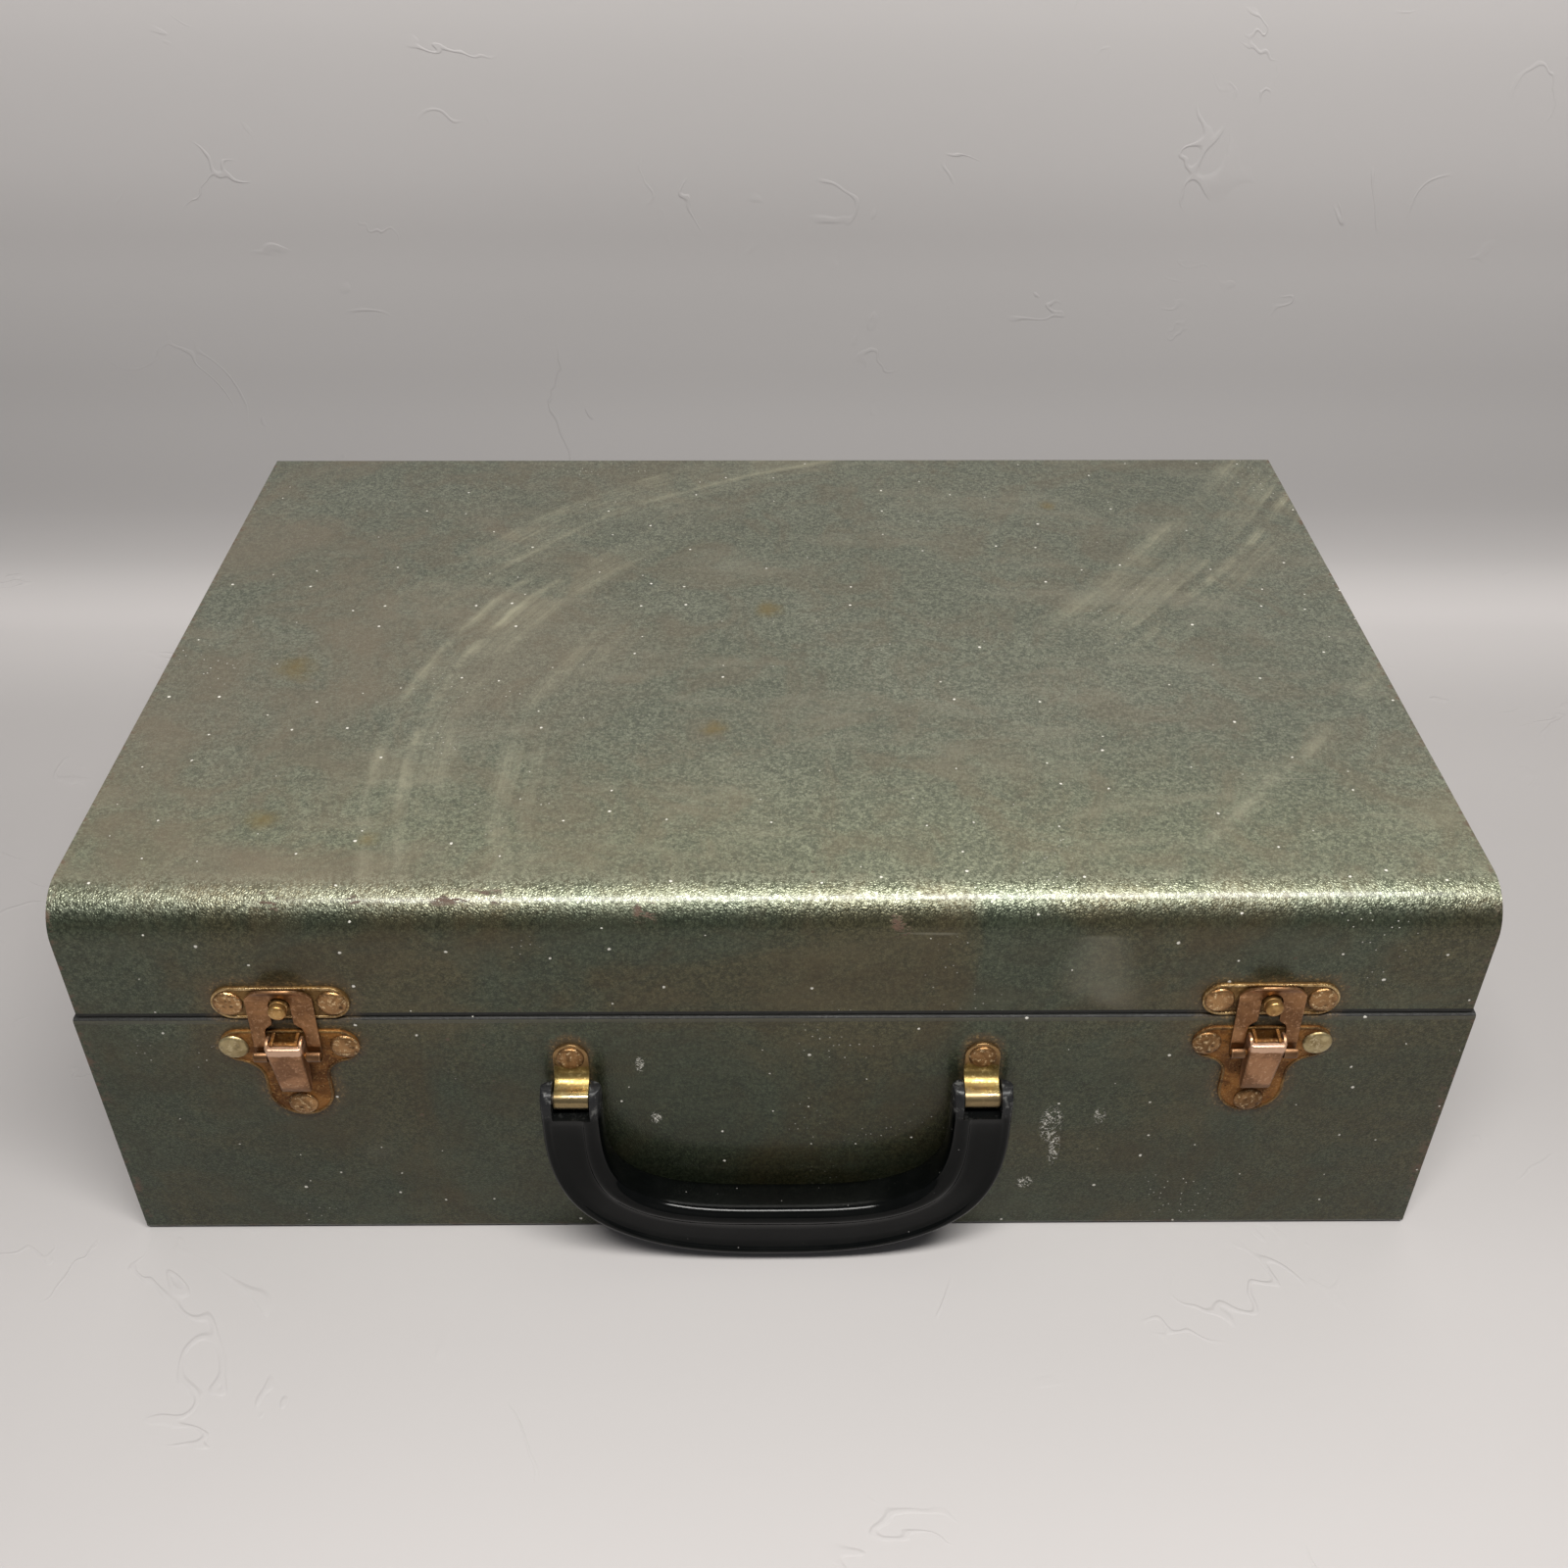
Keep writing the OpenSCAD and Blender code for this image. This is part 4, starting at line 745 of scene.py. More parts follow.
class Finishes:
    """Every material of the case, made once."""

    def __init__(self, paint: HammeredPaint) -> None:
        """Makes the materials round the given paint."""
        self.paint = paint.make()
        # The inner enamel is a darker copy of the tray enamel: painted shade, so that the rim strip seen
        # through the seam reads dark.
        self.inner = TrayPaint("inner_enamel", (0.11, 0.12, 0.095)).make()
        self.tray = TrayPaint("tray_enamel", (0.15, 0.16, 0.13)).make()
        self.plate = AgedMetal("rusted_latch_plate", (0.40, 0.27, 0.11), (0.19, 0.105, 0.032),
                               (0.075, 0.036, 0.012),
                               grain=1500.0, pits=0.75, roughness=0.42, depth=0.00024).make()
        self.base_plate = AgedMetal("rusted_latch_base", (0.42, 0.26, 0.10), (0.25, 0.105, 0.022),
                                    (0.11, 0.042, 0.010),
                                    grain=1300.0, pits=0.75, roughness=0.48, depth=0.00024).make()
        self.rim = AgedMetal("glittering_worn_rim", (0.95, 0.76, 0.48), (0.46, 0.32, 0.15),
                             (0.20, 0.11, 0.035),
                             grain=1500.0, pits=0.5, metallic=0.9, roughness=0.26, depth=0.00026,
                             patch=150.0).make()
        lever_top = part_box("latch_lever_left")[1][2]
        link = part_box("latch_link_pin_left")
        # The lever's first band is a painted highlight on its shoulder and its second darkens a band lower
        # down; its edge light is a painted highlight.
        self.lever = AgedMetal("brown_patina_lever", (0.60, 0.37, 0.22), (0.36, 0.18, 0.085),
                               (0.19, 0.088, 0.038),
                               grain=900.0, pits=0.3, metallic=0.82, roughness=0.30, depth=0.00008,
                               patch=85.0,
                               edge_light=0.7,
                               zones=((lever_top - 0.0036, lever_top - 0.0014, (0.72, 0.48, 0.34), 0.75),
                                      (lever_top - 0.030, lever_top - 0.0205, (0.16, 0.072, 0.026),
                                       0.7))).make()
        # The hasp's band is painted shade over the curl round the link pin; its edge light is a painted
        # highlight.
        self.hasp = AgedMetal("brown_patina_hasp", (0.52, 0.31, 0.175), (0.29, 0.145, 0.062),
                              (0.15, 0.070, 0.029),
                              grain=900.0, pits=0.3, metallic=0.82, roughness=0.29, depth=0.00006, patch=85.0,
                              edge_light=0.8,
                              zones=((link[0][2] - 0.003, link[1][2] + 0.0012, (0.075, 0.034, 0.012),
                                      0.85),)).make()
        self.rivet = {
            Plating.COPPER: AgedMetal("rusty_rivet", (1.0, 0.78, 0.46), (0.36, 0.20, 0.085),
                                      (0.14, 0.070, 0.025),
                                      grain=780.0, pits=0.8, metallic=0.88, roughness=0.27,
                                      depth=0.00030).make(),
            Plating.NICKEL: AgedMetal("dull_nickel_rivet", (0.66, 0.56, 0.36), (0.43, 0.35, 0.19),
                                      (0.24, 0.175, 0.08),
                                      grain=700.0, pits=0.35, metallic=0.85, roughness=0.32,
                                      depth=0.00008).make(),
        }
        self.stud = AgedMetal("worn_brass_stud", (0.85, 0.58, 0.28), (0.50, 0.30, 0.11), (0.25, 0.13, 0.04),
                              grain=700.0, pits=0.2, metallic=0.85, roughness=0.28, depth=0.00004).make()
        clip_low, clip_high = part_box("handle_clip_left")
        self.clip = AgedMetal("bright_brass_strap", (0.70, 0.55, 0.24), (0.38, 0.28, 0.10),
                              (0.22, 0.15, 0.05),
                              grain=800.0, pits=0.25, metallic=0.9, roughness=0.22, depth=0.00004,
                              brushed=0.45,
                              patch=90.0, zones=((clip_high[2] - 0.0085, clip_high[2] + 0.01,
                                                  (0.26, 0.15, 0.07), 0.8),
                                                 (clip_low[2] - 0.01, clip_low[2] + 0.0060,
                                                  (0.22, 0.165, 0.095), 0.75))).make()
        self.steel = AgedMetal("dull_hinge_steel", (0.50, 0.47, 0.42), (0.27, 0.25, 0.22), (0.15, 0.11, 0.08),
                               grain=900.0, pits=0.4, roughness=0.38, depth=0.00006, brushed=0.3).make()
        self.wire = AgedMetal("plated_wire", (0.70, 0.68, 0.63), (0.48, 0.46, 0.42), (0.28, 0.25, 0.21),
                              grain=700.0, pits=0.2, roughness=0.26, depth=0.00003).make()
        self.plastic = MouldedPlastic().make()


# ---------------------------------------------------------------- mesh helpers


def to_object(name: str, bm: bmesh.types.BMesh, material: bpy.types.Material,
              smooth_angle: float = 40.0) -> bpy.types.Object:
    """Turns a mesh in millimetres into an object in metres.

    Args:
        name: the object's name.
        bm: the mesh, which is freed.
        material: its finish.
        smooth_angle: edges sharper than this, in degrees, stay sharp.

    Returns:
        The new object, linked to the scene.
    """
    bmesh.ops.remove_doubles(bm, verts=bm.verts, dist=0.002)
    bmesh.ops.recalc_face_normals(bm, faces=bm.faces)
    bmesh.ops.scale(bm, vec=(MM, MM, MM), verts=bm.verts)
    mesh = bpy.data.meshes.new(name)
    for face in bm.faces:
        face.smooth = True
    for edge in bm.edges:
        if len(edge.link_faces) == 2 and edge.calc_face_angle(0.0) > math.radians(smooth_angle):
            edge.smooth = False
    bm.to_mesh(mesh)
    bm.free()
    mesh.materials.append(material)
    obj = bpy.data.objects.new(name, mesh)
    bpy.context.scene.collection.objects.link(obj)
    return obj


def arc(cx: float, cy: float, radius: float, start: float, end: float, count: int = 12) -> list[Point2]:
    """Points along an arc, angles in degrees, both ends included."""
    turn = [math.radians(start + (end - start) * i / count) for i in range(count + 1)]
    return [(cx + radius * math.cos(a), cy + radius * math.sin(a)) for a in turn]


def stadium(width: float, height: float) -> list[Point2]:
    """A bar with round ends, about the origin."""
    r = height / 2
    return arc(width / 2 - r, 0, r, -90, 90, 16) + arc(-(width / 2 - r), 0, r, 90, 270, 16)


def plate(loops: Sequence[Sequence[Point2]], thickness: float, bevel: float) -> bmesh.types.BMesh:
    """A flat plate with holes and softened edges, in the XY plane about Z = 0.

    Args:
        loops: the outline, then its holes.
        thickness: the plate's full thickness.
        bevel: the radius of its edges.

    Returns:
        The mesh, in the units of the loops.
    """
    curve = bpy.data.curves.new("outline", "CURVE")
    curve.dimensions = "2D"
    curve.fill_mode = "BOTH"
    curve.extrude = thickness / 2 - bevel
    curve.bevel_depth = bevel
    curve.bevel_resolution = 2
    curve.offset = -bevel
    for loop in loops:
        spline = curve.splines.new("POLY")
        spline.points.add(len(loop) - 1)
        spline.use_cyclic_u = True
        for point, (x, y) in zip(spline.points, loop):
            point.co = (x, y, 0.0, 1.0)
    holder = bpy.data.objects.new("outline", curve)
    bpy.context.scene.collection.objects.link(holder)
    mesh = bpy.data.meshes.new_from_object(holder.evaluated_get(bpy.context.evaluated_depsgraph_get()))
    bm = bmesh.new()
    bm.from_mesh(mesh)
    bpy.data.objects.remove(holder)
    bpy.data.curves.remove(curve)
    bpy.data.meshes.remove(mesh)
    bmesh.ops.remove_doubles(bm, verts=bm.verts, dist=0.001)
    return bm


def slice_along(bm: bmesh.types.BMesh, axis: int, low: float, high: float, step: float) -> None:
    """Cuts edges into a mesh at even steps along an axis, so that it can be bent there.

    Args:
        bm: the mesh, which is changed.
        axis: 0, 1 or 2 for X, Y or Z.
        low: where the steps begin.
        high: where they end.
        step: how far apart they are.
    """
    normal = Vector((0, 0, 0))
    normal[axis] = 1.0
    for i in range(1, int((high - low) / step)):
        place = Vector((0, 0, 0))
        place[axis] = low + i * step
        bmesh.ops.bisect_plane(bm, geom=bm.verts[:] + bm.edges[:] + bm.faces[:], plane_co=place,
                               plane_no=normal)


class Path:
    """A smooth way in the plane of [distance out, height], walked by length."""

    def __init__(self, points: Sequence[Point2]) -> None:
        """Takes the way's points in order."""
        self.points = [Vector(p) for p in points]
        self.lengths = [0.0]
        for a, b in zip(self.points, self.points[1:]):
            self.lengths.append(self.lengths[-1] + (b - a).length)

    @property
    def length(self) -> float:
        """The whole way's length."""
        return self.lengths[-1]

    def at(self, s: float) -> tuple[Vector, Vector]:
        """Walks the way.

        Args:
            s: the length along it.

        Returns:
            The point there, and the unit normal to the left of the way.
        """
        s = min(max(s, 0.0), self.length)
        i = next((k for k in range(1, len(self.lengths)) if self.lengths[k] >= s), len(self.lengths) - 1)
        a, b = self.points[i - 1], self.points[i]
        share = (s - self.lengths[i - 1]) / max(self.lengths[i] - self.lengths[i - 1], 1e-9)
        before = self.points[max(i - 2, 0)]
        after = self.points[min(i + 1, len(self.points) - 1)]
        way = (b - before).lerp(after - a, share)
        way.normalize()
        return a.lerp(b, share), Vector((-way.y, way.x))


def loft(rings: Sequence[Sequence[Point3]], closed_ends: bool = True) -> bmesh.types.BMesh:
    """A skin over rings of equal point counts."""
    bm = bmesh.new()
    rows = [[bm.verts.new(p) for p in ring] for ring in rings]
    count = len(rows[0])
    for a, b in zip(rows, rows[1:]):
        for i in range(count):
            bm.faces.new((a[i], a[(i + 1) % count], b[(i + 1) % count], b[i]))
    if closed_ends:
        bm.faces.new(rows[0][::-1])
        bm.faces.new(rows[-1])
    return bm


def lathe(profile: Sequence[Point2], segments: int = 40, wobble: float = 0.0,
          seed: int = 0) -> bmesh.types.BMesh:
    """A turned shape about the Z axis.

    Args:
        profile: [radius, height] from the axis at one end to the axis at the other.
        segments: points round it.
        wobble: how far the radius wanders, as a share.
        seed: which wander.

    Returns:
        The mesh, closed at both ends.
    """
    rng = random.Random(seed)
    waves = [(k, rng.uniform(0.2, 1.0) / k, rng.uniform(0, math.tau)) for k in range(2, 6)]
    rings = []
    for radius, height in profile:
        ring = []
        for i in range(segments):
            a = math.tau * i / segments
            swell = 1.0 + wobble * sum(size * math.sin(k * a + phase) for k, size, phase in waves)
            ring.append((radius * swell * math.cos(a), radius * swell * math.sin(a), height))
        rings.append(ring)
    return loft(rings)


def outwards(bm: bmesh.types.BMesh, place: Point3, back: bool = False) -> bmesh.types.BMesh:
    """Turns a mesh's Z to point out of the front wall (or of the back wall) and moves its origin to place."""
    turn = Matrix.Rotation(math.radians(-90 if back else 90), 4, "X")
    bmesh.ops.transform(bm, matrix=Matrix.Translation(place) @ turn, verts=bm.verts)
    return bm


def joined(parts: Iterable[bmesh.types.BMesh]) -> bmesh.types.BMesh:
    """Several meshes in one; the parts are freed."""
    whole = bmesh.new()
    for part in parts:
        mesh = bpy.data.meshes.new("part")
        part.to_mesh(mesh)
        part.free()
        whole.from_mesh(mesh)
        bpy.data.meshes.remove(mesh)
    return whole


def box_mm(node: str) -> tuple[Vector, Vector]:
    """A CAD node's lowest and highest corners in millimetres."""
    low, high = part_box(node)
    return Vector(low) / MM, Vector(high) / MM


def stand_in(obj: bpy.types.Object, body: str, slot: str, *nodes: str) -> None:
    """Puts obj in the place of CAD nodes.

    Args:
        obj: the new piece.
        body: the body that it rides.
        slot: the record's material slot; not used.
        nodes: the CAD nodes that it replaces, if any.
    """
    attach(obj, body)
    if nodes:
        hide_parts(*nodes)
    log.info("%s: %d faces on %s", obj.name, len(obj.data.polygons), body)


# ---------------------------------------------------------------- sub-assemblies


@dataclass
class Rivet:
    """A clinched rivet: a low domed head with a crisp edge, a shank and a tail."""

    head_r: float = 4.5
    head_t: float = 1.2
    shank_r: float = 1.5
    tail_r: float = 2.2
    tail_t: float = 0.8

    def mesh(self, grip: float, seed: int) -> bmesh.types.BMesh:
        """Turns the rivet, with its head above Z = 0.

        Args:
            grip: the thickness of the stack that it holds.
            seed: which wander its edge has.

        Returns:
            The mesh.
        """
        r, t = self.head_r, self.head_t
        dome = [(0.001, t), (r * 0.35, t * 0.985), (r * 0.62, t * 0.93), (r * 0.80, t * 0.84),
                (r * 0.90, t * 0.70),
                (r * 0.965, t * 0.48), (r, t * 0.24), (r * 0.985, t * 0.04), (r * 0.95, 0.0)]
        shank = [(self.shank_r, 0.0), (self.shank_r, -grip)]
        tail = [(self.tail_r * 0.97, -grip), (self.tail_r, -grip - 0.1),
                (self.tail_r * 0.9, -grip - self.tail_t * 0.8),
                (self.tail_r * 0.6, -grip - self.tail_t), (0.001, -grip - self.tail_t)]
        return lathe(dome + shank + tail, 40, 0.012, seed)


@dataclass
class Latch:
    """One draw latch: strike plate and stud on the lid; base, lever and hasp on the body."""

    side: Side
    finishes: Finishes
    edge: float = 0.22
    sheet: float = 1.0
    strike_rivet_dx: float = 15.4
    base_rivet_dx: float = 16.8
    ear_r: float = 6.5
    lobe_r: float = 10.0
    fillet_r: float = 7.0
    tilt: float = math.radians(4.2)
    pin_r: float = 1.0

    def node(self, stem: str) -> str:
        """The CAD node of this latch's piece."""
        return f"{stem}_{self.side.word}"

    def build(self) -> None:
        """Makes every piece of the latch."""
        low, high = box_mm(self.node("latch_base"))
        self.x = (low.x + high.x) / 2
        self.wall = high.y
        self.base_top, self.base_low = high.z, low.z
        joints = {joint["name"]: joint for joint in FRAME["joints"]}
        self.pivot = Vector(joints[f"latch_lever_{self.side.word}"]["pos_m"]) / MM
        self.link = Vector(joints[f"latch_hasp_{self.side.word}"]["pos_m"]) / MM
        self.strike()
        self.base()
        self.lever()
        self.hasp()
        for pin, body in (("latch_pivot_pin", "case"), ("latch_link_pin", f"latch_hasp_{self.side.word}")):
            self.pin(pin, body)

    def strike(self) -> None:
        """The strike plate with its coined rim, its two rivets and the stud."""
        low, high = box_mm(self.node("strike_plate"))
        mid_z = (low.z + high.z) / 2
        width, height = high.x - low.x, high.z - low.z
        outline = stadium(width, height)
        body = plate([outline], self.sheet, self.edge)
        rim = plate([stadium(width - 0.1, height - 0.1), stadium(width - 2.0, height - 2.0)], 0.40, 0.18)
        bmesh.ops.translate(rim, vec=(0, 0, self.sheet / 2 + 0.06), verts=rim.verts)
        bm = outwards(body, (self.x, high.y - self.sheet / 2, mid_z))
        stand_in(to_object(self.node("strike_plate_worn"), bm, self.finishes.plate), "lid", "latch_plate",
                 self.node("strike_plate"))
        edge = outwards(rim, (self.x, high.y - self.sheet / 2, mid_z))
        stand_in(to_object(self.node("strike_rim"), edge, self.finishes.rim), "lid", "latch_plate")
        heads = []
        for i, dx in enumerate((-self.strike_rivet_dx, self.strike_rivet_dx)):
            heads.append(outwards(Rivet().mesh(self.sheet * 2, 11 + i), (self.x + dx, low.y, mid_z)))
        stand_in(to_object(self.node("strike_rivets_worn"), joined(heads),
                           self.finishes.rivet[Plating.COPPER]),
                 "lid", "rivet_copper", self.node("strike_rivets"))
        s_low, s_high = box_mm(self.node("strike_stud"))
        r = (s_high.x - s_low.x) / 2
        reach = low.y - s_low.y
        turned = [(0.001, reach), (r * 0.55, reach), (r * 0.80, reach - 0.12), (r * 0.95, reach - 0.42),
                  (r, reach - 0.8),
                  (r, reach * 0.62), (r * 0.93, reach * 0.58), (r * 0.93, reach * 0.5), (r, reach * 0.46),
                  (r, 0.25), (r * 1.12, 0.0), (1.5, 0.0), (1.5, -2 * self.sheet), (2.15, -2 * self.sheet),
                  (2.0, -2 * self.sheet - 0.75), (0.001, -2 * self.sheet - 0.8)]
        stud = outwards(lathe(turned, 40, 0.004, 3), (self.x, low.y, mid_z))
        stand_in(to_object(self.node("strike_stud_turned"), stud, self.finishes.stud), "lid", "clip_brass",
                 self.node("strike_stud"))

    def base_outline(self) -> list[Point2]:
        """The base plate's shield outline about the ears' rivet line."""
        half = 21.0
        inner = half - self.ear_r
        lobe_y = self.base_low + self.lobe_r - (self.base_top - self.ear_r)
        waist_y = -self.ear_r - self.fillet_r
        waist_x = self.lobe_r + self.fillet_r
        right = arc(0, lobe_y, self.lobe_r, -90, 0, 14) + arc(waist_x, waist_y, self.fillet_r, 180, 106, 10)
        right += arc(inner, 0, self.ear_r, -84, 90, 18)
        left = [(-x, y) for x, y in reversed(right)]
        return right + left[:-1]

    def base(self) -> None:
        """The shield plate, its coined rim, the two ears that hold the lever, and its rivets."""
        ears_z = self.base_top - self.ear_r
        outline = self.base_outline()
        body = plate([outline], self.sheet, self.edge)
        rim = plate([self.inset(outline, 0.06), self.inset(outline, 0.85)], 0.34, 0.16)
        bmesh.ops.translate(rim, vec=(0, 0, self.sheet / 2 + 0.06), verts=rim.verts)
        bm = outwards(body, (self.x, self.wall - self.sheet / 2, ears_z))
        edge = outwards(rim, (self.x, self.wall - self.sheet / 2, ears_z))
        stand_in(to_object(self.node("latch_base_rim"), edge, self.finishes.plate), "case", "latch_plate")
        reach = self.wall - self.pivot.y
        r = 1.7
        for dx in (-3.6, 3.6):
            side_view = [(0.4, -2.4), (0.9, -2.2), (reach, -r)] + arc(reach, 0, r, -90, 90, 12)[1:]
            side_view += [(0.9, 2.2), (0.4, 2.4)]
            ear = plate([side_view, arc(reach, 0, 1.05, 0, 345, 23)], 0.98, 0.12)
            at = Matrix.Translation((self.x + dx, self.wall, self.pivot.z))
            bmesh.ops.transform(ear, matrix=at @ UPRIGHT, verts=ear.verts)
            bm = joined([bm, ear])
        stand_in(to_object(self.node("latch_base_worn"), bm, self.finishes.base_plate), "case", "latch_plate",
                 self.node("latch_base"))
        tail_z = box_mm(self.node("latch_rivets"))[0].z + Rivet().head_r
        places = [(-self.base_rivet_dx, ears_z), (self.base_rivet_dx, ears_z), (0.0, tail_z)]
        pale = 0 if self.side is Side.LEFT else 1
        groups: dict[Plating, list[bmesh.types.BMesh]] = {Plating.COPPER: [], Plating.NICKEL: []}
        for i, (dx, z) in enumerate(places):
            plating = Plating.NICKEL if i == pale else Plating.COPPER
            head = Rivet().mesh(2 * self.sheet, 31 + i)
            groups[plating].append(outwards(head, (self.x + dx, self.wall - self.sheet, z)))
        for plating, heads in groups.items():
            obj = to_object(self.node(f"latch_rivets_{plating.value}"), joined(heads),
                            self.finishes.rivet[plating])
            stand_in(obj, "case", "rivet_copper", self.node("latch_rivets"))

    @staticmethod
    def inset(loop: Sequence[Point2], distance: float) -> list[Point2]:
        """The outline moved inwards.

        Args:
            loop: the outline.
            distance: how far it moves.

        Returns:
            The smaller outline.
        """
        out = []
        count = len(loop)
        for i, (x, y) in enumerate(loop):
            ahead, behind = loop[(i + 1) % count], loop[i - 1]
            way = Vector((ahead[0] - behind[0], ahead[1] - behind[1])).normalized()
            out.append((x - way.y * distance, y + way.x * distance))
        return out

    def lever(self) -> None:
        """The folded lever: a channel with a bright shoulder that closes to a flat finger end."""
        stations = [  # height from the pivot, front and back distance out, half width
            (-20.55, -0.55, -1.45, 4.3), (-20.3, -0.05, -1.6, 4.5), (-19.2, 0.45, -1.7, 4.65),
            (-17.0, 0.92, -1.8, 4.75),
            (-14.0, 1.38, -2.4, 4.85), (-11.0, 1.80, -2.6, 4.95), (-8.0, 2.22, -2.75, 5.05),
            (-5.0, 2.62, -2.8, 5.2),
            (-2.5, 2.92, -2.8, 5.35), (-1.0, 3.05, -2.6, 5.45), (-0.2, 3.06, -2.4, 5.48),
            (0.3, 2.90, -2.3, 5.5),
            (0.62, 2.6, -2.2, 5.5), (0.78, 2.15, -2.2, 5.5)]
        rings = []
        for height, front, back, half in stations:
            rings.append([(self.x + x, self.pivot.y - u, self.pivot.z + height)
                          for x, u in self.channel(front, back, half, 0.9, height < -19.6)])
        bm = loft(rings)
        for sign in (-1, 1):
            cheek = [(-1.9, 1.95), (-0.6, 2.25), (0.6, 2.15), (2.15, 0.7), (2.15, -1.2), (-2.45, -1.2),
                     (-2.3, 0.6)]
            wing = plate([cheek], 0.9, 0.14)
            at = Matrix.Translation((self.x + sign * 5.05, self.pivot.y, self.pivot.z))
            bmesh.ops.transform(wing, matrix=at @ UPRIGHT, verts=wing.verts)
            bm = joined([bm, wing])
        stand_in(to_object(self.node("latch_lever_folded"), bm, self.finishes.lever, 50.0),
                 f"latch_lever_{self.side.word}",
                 "latch_brass", self.node("latch_lever"))

    @staticmethod
    def channel(front: float, back: float, half: float, wall: float, closed: bool) -> list[Point2]:
        """A channel's section with rounded outer corners.

        Args:
            front: the face's distance out.
            back: the open side's distance out.
            half: the half width.
            wall: the sheet's thickness.
            closed: whether the hollow is filled.

        Returns:
            The section in [x, distance out].
        """
        r = min(1.3, (front - back) * 0.45)
        outer = [(-half, back)] + arc(-half + r, front - r, r, 180, 90, 6)
        outer += arc(half - r, front - r, r, 90, 0, 6) + [(half, back)]
        inner_front = back + 0.05 if closed else front - wall
        ri = max(min(0.6, (inner_front - back) * 0.4), 0.01)
        w = half - wall
        inner = [(w, back)] + arc(w - ri, inner_front - ri, ri, 0, 90, 4)
        inner += arc(-w + ri, inner_front - ri, ri, 90, 180, 4)
        return outer + inner + [(-w, back)]

    def hasp(self) -> None:
        """The hasp: legs curled round the link pin, a keyhole for the stud, and an arched lip."""
        half, slot = 10.0, 5.85
        curl = self.pin_r + 0.05 + 0.45
        around = curl * math.radians(255)
        flat_top, corner, peak = 22.4, 21.6, 27.3
        s0 = around
        stud_z = (box_mm(self.node("strike_stud"))[0].z + box_mm(self.node("strike_stud"))[1].z) / 2
        notch = (stud_z - self.link.z) / math.cos(self.tilt)
        r = 3.2
        outline = [(slot, 0.0), (half, 0.0)]
        outline += [(half, s0 + corner - 0.8)] + arc(half - 0.8, s0 + corner - 0.8, 0.8, 12, 45, 3)
        outline += [(7.4, s0 + corner + 2.4), (5.2, s0 + peak - 1.1), (4.0, s0 + peak - 0.35),
                    (2.4, s0 + peak - 0.05)]
        outline += [(0.0, s0 + peak)]
        outline += [(-x, y) for x, y in reversed(outline[:-1])]
        neck = s0 + 10.6
        keyhole = [(-slot, 0.0), (-slot, neck - 2.2), (-slot + 0.5, neck - 0.9), (-r - 0.2, neck + 0.6),
                   (-r, neck + 1.6)]
        outline += keyhole + arc(0, s0 + notch, r, 180, 0, 20) + [(-x, y) for x, y in reversed(keyhole)][:-1]
        bm = plate([outline], 0.9, 0.2)
        slice_along(bm, 1, 0.0, s0 + peak, 0.5)
        turns = [(curl * math.cos(math.radians(a)), curl * math.sin(math.radians(a)))
                 for a in range(435, 179, -15)]
        rise = [(-curl, h) for h in (2, 6, 10, 14, 18, flat_top - 1.2)]
        lip = [(-curl + 0.12, flat_top), (-curl + 0.62, flat_top + 1.1), (-curl + 1.45, flat_top + 2.2),
               (-curl + 2.5, flat_top + 3.2), (-curl + 3.6, flat_top + 4.1)]
        path = Path(turns + rise + lip)
        cos_t, sin_t = math.cos(self.tilt), math.sin(self.tilt)
        for v in bm.verts:
            here, normal = path.at(v.co.y)
            spot = here + normal * v.co.z
            u = spot.x * cos_t - spot.y * sin_t
            z = spot.x * sin_t + spot.y * cos_t
            v.co = Vector((self.x + v.co.x, self.link.y - u, self.link.z + z))
        stand_in(to_object(self.node("latch_hasp_worn"), bm, self.finishes.hasp, 50.0),
                 f"latch_hasp_{self.side.word}",
                 "latch_brass", self.node("latch_hasp"))

    def pin(self, stem: str, body: str) -> None:
        """A pin with eased ends."""
        low, high = box_mm(self.node(stem))
        r, half = (high.z - low.z) / 2, (high.x - low.x) / 2
        bm = lathe([(0.001, half), (r * 0.7, half), (r, half - 0.3), (r, -half + 0.3), (r * 0.7, -half),
                    (0.001, -half)], 24)
        middle = (low + high) / 2
        bmesh.ops.transform(bm, matrix=Matrix.Translation(middle) @ CROSSWISE, verts=bm.verts)
        stand_in(to_object(self.node(f"{stem}_eased"), bm, self.finishes.base_plate), body, "pin_steel",
                 self.node(stem))


